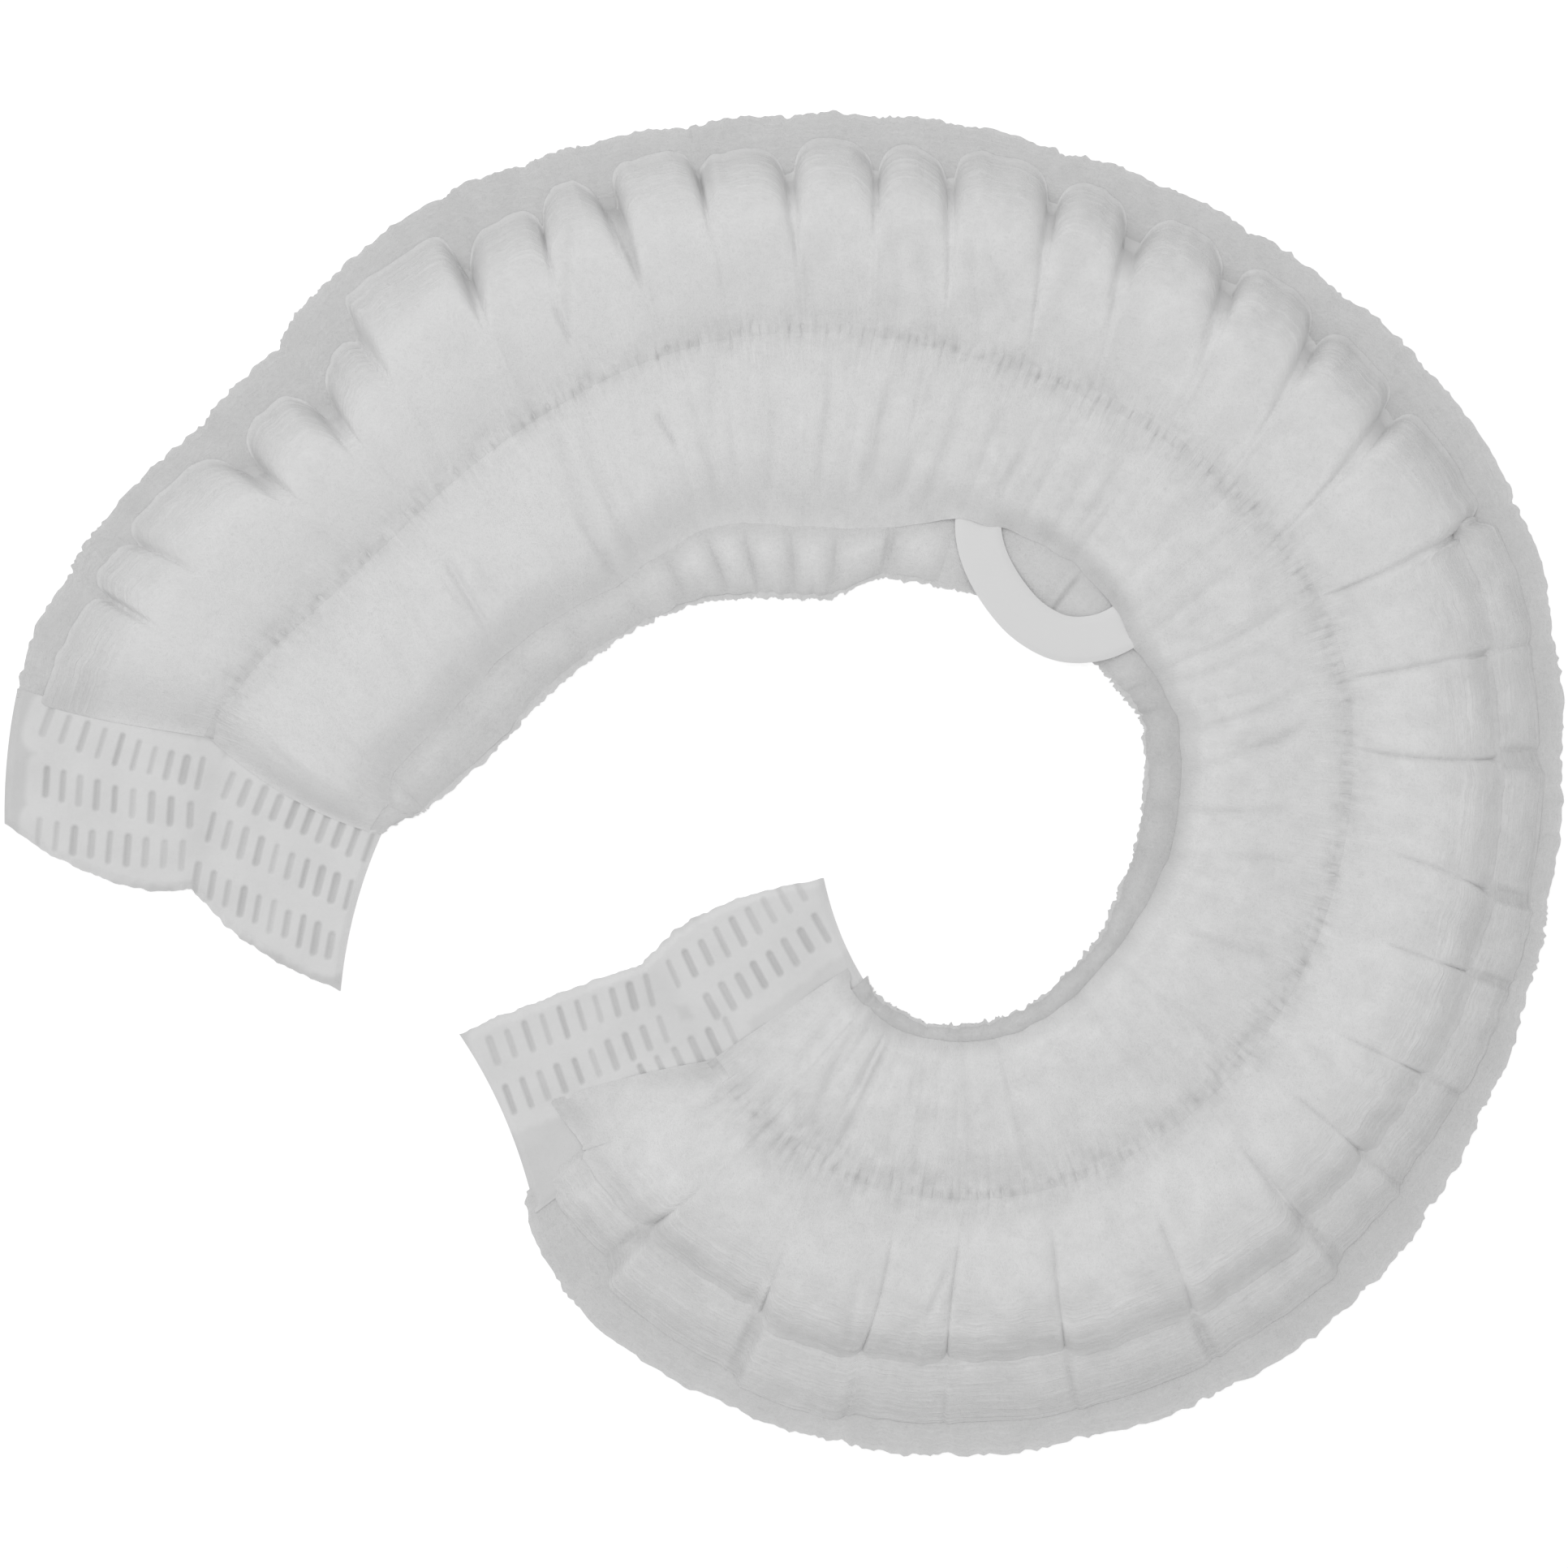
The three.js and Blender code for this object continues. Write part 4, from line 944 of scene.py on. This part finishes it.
def makeRuffles(fold, high, level):
    spec = middlePly
    g = np.linspace(0, 1, spec["ruffleRows"])[None, :]
    start, end = ruffleRows(fold)
    end = end + spec["raggedRuffle"] * lineNoise(fold * 6, 1.0, 64)
    inward = mixed(start, end, g)
    x, y = clothPoint(fold, -inward)
    wave = np.abs(np.sin(math.pi * (fold + 0.10 * lineNoise(fold, 1.3, 65)))) ** 0.8
    room = np.clip((end - start) / 9.0, 0, 1)
    rows = byFold(spec["ruffles"], fold)
    hidden = spec["tucked"] / (end - start)
    hump = np.sin(math.pi * np.clip((g - hidden) / (1 - hidden), 0, 1))
    size = high * spec["ruffleHeight"] * ownValue("ruffle", fold) * rows * room
    z = ruffleLevel(level, g) + size * hump * (0.45 + 0.55 * wave)
    # the fold inside the elastic loop is sunk and darkened as painted shade
    lens = 0.5 * pressedLines(lensFold, foldValue("root", fold) + 0 * g, -inward, strip["length"])
    # painted shade between the puffs, turning to painted light on their tops, and painted shade on the flat
    # margin
    shade = np.where(rows > 0.75, *spec["ruffleShade"]) * (1 - 1.4 * wave * hump)
    shade = shade + byFold(spec["flatShade"], fold) + lens
    place = stacked(foldValue("seam", fold) * strip["length"], -inward, end - inward)
    return stacked(x, y, z - lens), place, stacked(0.3, 0.3, shade)


def makeMiddlePly():
    spec = middlePly
    fold = columnsOf(weldFold, spec["columnsPerFold"])
    high = taper(fold) * tailFade(fold)
    level = mixed(spec["endLevel"], spec["top"], plateFade(fold))
    sides = zip(makeRuffles(fold, high, level), makeTier(fold, high, level))
    top, place, marks = (bothSides(*pair) for pair in sides)
    marks = {"stripPlace": place, "creaseMarks": marks}
    floor = top[..., 2] - spec["thickness"]
    return makeSolid("middle_cloth", top, floor, "lowerCloth", ("middle_ply",), marks)


# Back ply: flat on the table, with a crimped free edge
backPly = {
    "columnsPerFold": 30,
    "thickness": 0.55,
    "clearance": 0.15,           # above the table
    "overlap": 6.0,              # hidden under the plies above
    "edgeWave": 0.7,
    "crimp": 0.35,
    "curl": 0.7,
    "marginRows": 12,
    # painted shade over the whole margin, part of it also the single ply's darker tone, and more painted
    # shadow near the plies above
    "shade": 0.26,
    "hiddenShade": 0.20,
    "edgeLight": 0.12,
}


def makeBackPly():
    spec = backPly
    fold = columnsOf(weldFold, spec["columnsPerFold"])
    full = 1 - np.abs(2 * (fold - foldNumber(fold)) - 1) ** 3
    jag = lineNoise(fold * 14, 1.0, 71) + 0.8 * lineNoise(fold * 31, 1.0, 72)
    jagIn = lineNoise(fold * 9, 1.0, 73) + 0.7 * lineNoise(fold * 23, 1.0, 74)
    edge = reachOf("edge", fold) + spec["edgeWave"] * full + spec["crimp"] * jag
    rim = reachOf("rim", fold) + spec["crimp"] * jagIn
    q = np.linspace(0, 1, spec["marginRows"])[None, :]
    lobe = reachOf("lobe", fold) - spec["overlap"]
    frill = reachOf("frill", fold) - spec["overlap"]
    across = np.concatenate([-mixed(frill, rim, q)[:, ::-1], 0 * fold, mixed(lobe, edge, q)], axis=1)
    x, y = clothPoint(fold, across)
    outward = np.concatenate([q[:, ::-1] + 0 * fold, 0 * fold, q + 0 * fold], axis=1)
    lifted = spec["curl"] * outward ** 4 * (0.6 + 0.6 * softNoise(x, y, 7, 75))
    lifted = lifted + 0.12 * softNoise(x, y, 3, 76) * outward ** 2
    z = spec["thickness"] + spec["clearance"] + np.maximum(lifted, 0)
    fromEdge = np.minimum(edge - across, rim + across)
    place = stacked(foldValue("seam", fold) * strip["length"], across, fromEdge)
    edging = np.exp(-np.maximum(fromEdge, 0) / 0.6)
    # painted shade over the margin, partly also the single ply's darker tone, with painted shadow of the
    # plies above growing inwards; lighter along the free edge
    shade = spec["shade"] + spec["hiddenShade"] * (1 - outward) - spec["edgeLight"] * edging
    marks = {"stripPlace": place, "creaseMarks": stacked(0.6, 0.3, shade)}
    floor = z - spec["thickness"]
    return makeSolid("back_cloth", stacked(x, y, z), floor, "lowerCloth", ("back_ply",), marks)


# Seam: cloth crimped over the sewn-in elastic
seamSpec = {
    "steps": 2200,
    "rows": 11,
    "half": 1.6,
    "top": 0.22,
    "fallOff": 0.60,             # at both sides
    "thickness": 0.5,
    # painted shade where the seam goes down to the welds
    "endShade": 0.30,
}


def makeSeam():
    spec = seamSpec
    along = np.linspace(foldTable["seam"][0], foldTable["seam"][-1], spec["steps"])[:, None]
    fold = np.interp(along, foldTable["seam"], np.arange(lastFold + 1))
    high = taper(fold)
    q = np.linspace(-1, 1, spec["rows"])[None, :]
    s = along * strip["length"]
    across = spec["half"] * q + 0 * s
    x, y = stripPoint(along + 0 * q, across)
    rim = mixed(endLevel(fold, across), frontPly["rimTop"], plateFade(fold))
    base = rim + high * frontPly["groove"]
    crimp, dark = seamCrimp(along + 0 * q, across)
    z = base - high * crimp + spec["top"] - spec["fallOff"] * q ** 2
    # darkening of the crimps, with painted shade in their valleys, and painted shade at the welded ends
    shade = dark + endShade(fold, spec["endShade"])
    marks = {"stripPlace": stacked(s, across, across), "creaseMarks": stacked(0, 1, shade)}
    floor = z - spec["thickness"]
    return makeSolid("seam_crimps", stacked(x, y, z), floor, "seam", ("seam_elastic",), marks)


# Loose loop of flat elastic, each point as share of the length and of the inner width
bandSpec = {
    "width": 8.0,
    "thickness": 0.8,
    "floor": 2.6,
    "steps": 220,
    "rows": 13,
    "course": [(0.413, 0.44), (0.418, 0.61), (0.427, 0.71), (0.444, 0.80), (0.465, 0.84), (0.489, 0.82),
               (0.505, 0.74), (0.512, 0.64), (0.513, 0.47)],
}


def smoothCourse(points, steps):  # centripetal curve through the points, evenly stepped
    p = np.vstack([2 * points[0] - points[1], points, 2 * points[-1] - points[-2]])
    gaps = np.sqrt(np.linalg.norm(np.diff(p, axis=0), axis=1))
    made = []
    for i in range(1, len(p) - 2):
        knots = np.cumsum([0, gaps[i - 1], gaps[i], gaps[i + 1]])
        u = np.linspace(knots[1], knots[2], 40, endpoint=(i == len(p) - 3))[:, None]

        def between(first, last, a, b):
            span = knots[last] - knots[first]
            return (knots[last] - u) / span * a + (u - knots[first]) / span * b

        a = [between(j, j + 1, p[i - 1 + j], p[i + j]) for j in range(3)]
        b = [between(j, j + 2, a[j], a[j + 1]) for j in range(2)]
        made.append(between(1, 2, *b))
    line = np.vstack(made)
    gone = np.concatenate([[0], np.cumsum(np.linalg.norm(np.diff(line, axis=0), axis=1))])
    at = np.linspace(0, gone[-1], steps)
    return np.stack([np.interp(at, gone, line[:, axis]) for axis in range(line.shape[1])], axis=1)


def makeBand():
    spec = bandSpec
    course = np.array(spec["course"])
    x, y = stripPoint(course[:, 0], -course[:, 1] * strip["innerWidth"])
    line = smoothCourse(np.stack([x, y], axis=1), spec["steps"])
    tangent = np.gradient(line, axis=0)
    tangent /= np.linalg.norm(tangent, axis=1)[:, None]
    sideways = np.stack([-tangent[:, 1], tangent[:, 0]], axis=1)
    q = np.linspace(-1, 1, spec["rows"])
    place = line[:, None, :] + sideways[:, None, :] * (q * spec["width"] / 2)[None, :, None]
    crown = spec["thickness"] * (0.55 + 0.45 * np.sqrt(1 - np.abs(q) ** 6))
    top = stacked(place[..., 0], place[..., 1], spec["floor"] + crown)
    return makeSolid("elastic_loop", top, spec["floor"], "band", ("head_elastic",), {})


# Welded ends: fused plates with rows of pressed bars
weldSpec = {
    "barWidth": 1.05,
    "barLength": 5.4,
    "barDepth": 0.55,
    # painted shade in the pressed bars
    "barShade": 0.50,
    "seamShade": 0.10,
    "cloudShade": 0.05,
    "pillow": 0.20,
    "ragged": 0.25,
    "blockMargin": 2.4,          # bright plate around the bars
    "waistShare": 0.2,           # how far the waist is felt from both sides
    "floor": 0.1,
    "hiddenTop": 1.1,            # under the cloth
    "stepsAlong": 300,
    "stepsAcross": 110,
}
# Corners: share of the length and of the width. Bulges: of the two halves of the free end.
# Waist: how far both sides draw in, in mm, or bulge out below zero. Margin: how dark the plate
# is beside the bars. Each row: first, middle and last bar (x, y), number of bars, and the lean
# of the first and last bar in degrees.
weldEnds = {
    "left_weld": {
        "node": "left_end_weld", "crease": 0, "overlap": 1.5,
        "corners": [(0.020, 0.71), (0.000, 0.0), (-0.044, -0.50)], "bulges": [0.135, 0.08],
        "waist": [-0.7, 1.3], "margin": 0.29,
        "rows": [
            [(-127.2, 10.7), (-113.3, 5.4), (-100.7, 1.75), 10, -20, -12],
            [(-127.3, 0.35), (-115.5, -2.7), (-102.4, -5.4), 9, -4, -3],
            [(-128.6, -8.3), (-116.4, -11.0), (-103.8, -12.4), 9, -5, -4],
            [(-95.8, -0.35), (-83.5, -5.9), (-71.7, -11.0), 10, -22, -20],
            [(-98.8, -7.5), (-86.6, -13.6), (-75.1, -19.2), 10, -14, -14],
            [(-101.3, -16.2), (-89.6, -22.3), (-78.3, -27.9), 10, -10, -10],
        ],
    },
    "right_weld": {
        "node": "right_end_weld", "crease": weldFold, "overlap": 4.0,
        "corners": [(1.019, 0.72), (1.000, 0.0), (0.986, -0.73)], "bulges": [0.02, 0.13],
        "waist": [1.6, 1.2], "margin": 0.18,
        "rows": [
            [(-50.1, -46.1), (-36.5, -40.6), (-23.2, -35.6), 10, 20, 14],
            [(-47.3, -54.5), (-34.0, -48.9), (-20.8, -42.4), 10, 20, 20],
            [(-19.0, -32.8), (-7.9, -25.5), (2.7, -18.1), 9, 24, 30],
            [(-12.4, -38.4), (-2.9, -32.0), (6.5, -24.9), 8, 28, 30],
            [(-23.9, -50.8), (-16.5, -47.0), (-9.2, -42.6), 6, 25, 25],
        ],
    },
}


def quadratic(a, b, c, u):  # curve through b at u = 0.5
    control = 2 * b - (a + c) / 2
    return (1 - u) ** 2 * a + 2 * u * (1 - u) * control + u * u * c


def creaseCourse(crease):
    reach = lambda name, side: foldTable[name][crease] * strip[side]
    across = np.array([reach("edge", "outerWidth"), reach("lobe", "outerWidth"), 0.0,
                       -reach("frill", "innerWidth"), -reach("rim", "innerWidth")])
    x, y = clothPoint(np.full(5, float(crease)), across)
    return np.stack([x, y], axis=1)


def alongCourse(points, share):
    gone = np.concatenate([[0], np.cumsum(np.linalg.norm(np.diff(points, axis=0), axis=1))])
    return np.stack([np.interp(share * gone[-1], gone, points[:, axis]) for axis in range(2)], axis=-1)


def weldCourses(end, s):  # free end and joined end of the plate
    spec = weldSpec
    corners = []
    for along, share in end["corners"]:
        across = share * strip["outerWidth" if share > 0 else "innerWidth"]
        corners.append(np.array(stripPoint(np.array(along), np.array(across))))
    course = creaseCourse(end["crease"])
    free = np.zeros((len(s), 2))
    joined = np.zeros((len(s), 2))
    for half in range(2):
        a, c = corners[half], corners[half + 1]
        middle = (a + c) / 2
        away = middle - course[2 * half + 1]
        middle = middle + away / np.linalg.norm(away) * end["bulges"][half] * np.linalg.norm(c - a)
        here = (s <= 0.5) if half == 0 else (s > 0.5)
        u = (2 * s[here] - half)[:, None]
        free[here] = quadratic(a, middle, c, u)
        joined[here] = alongCourse(course[2 * half:2 * half + 3], u[:, 0])
    outward = free - joined
    reachOut = np.linalg.norm(outward, axis=1)[:, None]
    jag = (lineNoise(s * 40, 1.0, 81) + 0.5 * lineNoise(s * 90, 1.0, 82))[:, None]
    return free + outward / reachOut * spec["ragged"] * jag, joined - outward / reachOut * end["overlap"]


def pressedBars(end, x, y):  # how deep the bars are pressed, and the distance to the nearest one
    spec = weldSpec
    bars = np.zeros(x.shape)
    closest = np.full(x.shape, 99.0)
    rng = np.random.default_rng(17)
    for first, middle, last, count, leanA, leanB in end["rows"]:
        a, b, c = (np.array(p, dtype=float) for p in (first, middle, last))
        for i in range(count):
            u = i / (count - 1)
            centre = quadratic(a, b, c, u)
            lean = math.radians(mixed(leanA, leanB, u))
            dx, dy = x - centre[0], y - centre[1]
            wide = spec["barWidth"] * rng.uniform(0.65, 1.15)
            strong = rng.uniform(0.55, 1.0)
            long = spec["barLength"] * rng.uniform(0.85, 1.1)
            longways = np.abs(-dx * math.sin(lean) + dy * math.cos(lean)) - long / 2 + wide / 2
            sideways = dx * math.cos(lean) + dy * math.sin(lean)
            apart = np.hypot(np.maximum(longways, 0), sideways) - wide / 2
            bars = np.maximum(bars, strong * smooth((0.35 - apart) / 0.7))
            closest = np.minimum(closest, apart)
    return bars, closest


def makeWeld(name, end):
    spec = weldSpec
    s = np.linspace(0, 1, spec["stepsAlong"])
    w = np.linspace(0, 1, spec["stepsAcross"])
    free, joined = weldCourses(end, s)
    place = free[:, None, :] * (1 - w)[None, :, None] + joined[:, None, :] * w[None, :, None]
    inwards = (joined[-1] - joined[0]) / np.linalg.norm(joined[-1] - joined[0])
    sides = zip(end["waist"], (s, 1 - s))
    first, last = (waist * (1 - smooth(gone / spec["waistShare"])) for waist, gone in sides)
    place = place + (first - last)[:, None, None] * (4 * w * (1 - w))[None, :, None] * inwards
    x, y = place[..., 0], place[..., 1]
    bars, closest = pressedBars(end, x, y)
    ridgeLine = np.exp(-((s - 0.5) / 0.05) ** 2)[:, None]
    z = plateTop(np.abs(2 * s - 1))[:, None] - spec["barDepth"] * bars
    edge = smooth(w / 0.06)[None, :] * smooth(np.minimum(s, 1 - s) / 0.02)[:, None]
    bare = 1 - smooth((w - 0.70) / 0.15)[None, :]
    z = z * (0.45 + 0.55 * edge) + spec["pillow"] * softNoise(x, y, 4, 83) * edge * bare
    z = mixed(z, spec["hiddenTop"], smooth((w - 0.96) / 0.04)[None, :])
    outside = smooth((closest - spec["blockMargin"]) / 1.4)
    # painted shade in the pressed bars; the plate beside the bar blocks is darker by the margin value
    shade = spec["barShade"] * bars + end["margin"] * outside * (1 - bars)
    shade = shade + spec["seamShade"] * ridgeLine + spec["cloudShade"] * softNoise(x, y, 5, 84)
    marks = {"creaseMarks": stacked(0, 0, shade)}
    return makeSolid(name, stacked(x, y, z), spec["floor"], "weld", (end["node"],), marks)


frontCloth = makeFrontPly()
middleCloth = makeMiddlePly()
backCloth = makeBackPly()
makeSeam()
makeBand()
for name, end in weldEnds.items():
    makeWeld(name, end)

# Floor, light and camera
stageSpec = {
    "floorHalf": 1.2,
    "floorTone": 0.80,
    "floorGlow": 0.46,
    "world": 0.495,
    "lamps": [  # place, size, power
        ("overhead", (-0.15, 0.2, 1.3), 1.1, 5.3),
        ("side", (-0.9, 0.6, 0.7), 0.6, 1.1),
    ],
    "sensor": 36.0,
    "lens": 200.0,
    "frame": 270.48,             # width of the picture at the height plane
    "plane": 2.0,
}


def makeStage():
    spec = stageSpec
    half = spec["floorHalf"]
    mesh = bpy.data.meshes.new("floor")
    corners = [(-half, -half, 0), (half, -half, 0), (half, half, 0), (-half, half, 0)]
    mesh.from_pydata(corners, [], [(0, 1, 2, 3)])
    floor = bpy.data.objects.new("floor", mesh)
    floor.location.z = -0.0002
    bpy.context.scene.collection.objects.link(floor)
    material, tree, shader = newMaterial("floorPaint")
    tone = spec["floorTone"]
    feed(tree, shader, {
        "Base Color": (tone, tone, tone, 1), "Emission Color": (1, 1, 1, 1),
        "Emission Strength": spec["floorGlow"], "Roughness": 0.9, "Specular IOR Level": 0.1})
    mesh.materials.append(material)

    world = bpy.data.worlds.new("studio")
    world.use_nodes = True
    background = world.node_tree.nodes["Background"]
    feed(world.node_tree, background, {"Color": (1, 1, 1, 1), "Strength": spec["world"]})
    bpy.context.scene.world = world

    for name, place, size, power in spec["lamps"]:
        data = bpy.data.lights.new(name, "AREA")
        data.shape = "SQUARE"
        data.size = size
        data.energy = power
        lamp = bpy.data.objects.new(name, data)
        lamp.location = place
        lamp.rotation_euler = (-Vector(place)).to_track_quat("-Z", "Y").to_euler()
        bpy.context.scene.collection.objects.link(lamp)

    data = bpy.data.cameras.new("camera")
    data.sensor_width = spec["sensor"]
    data.lens = spec["lens"]
    data.clip_end = 10
    camera = bpy.data.objects.new("camera", data)
    camera.location = (0, 0, (spec["plane"] + spec["frame"] * spec["lens"] / spec["sensor"]) * mm)
    bpy.context.scene.collection.objects.link(camera)
    bpy.context.scene.camera = camera
    bpy.context.scene.view_settings.view_transform = "Standard"


makeStage()
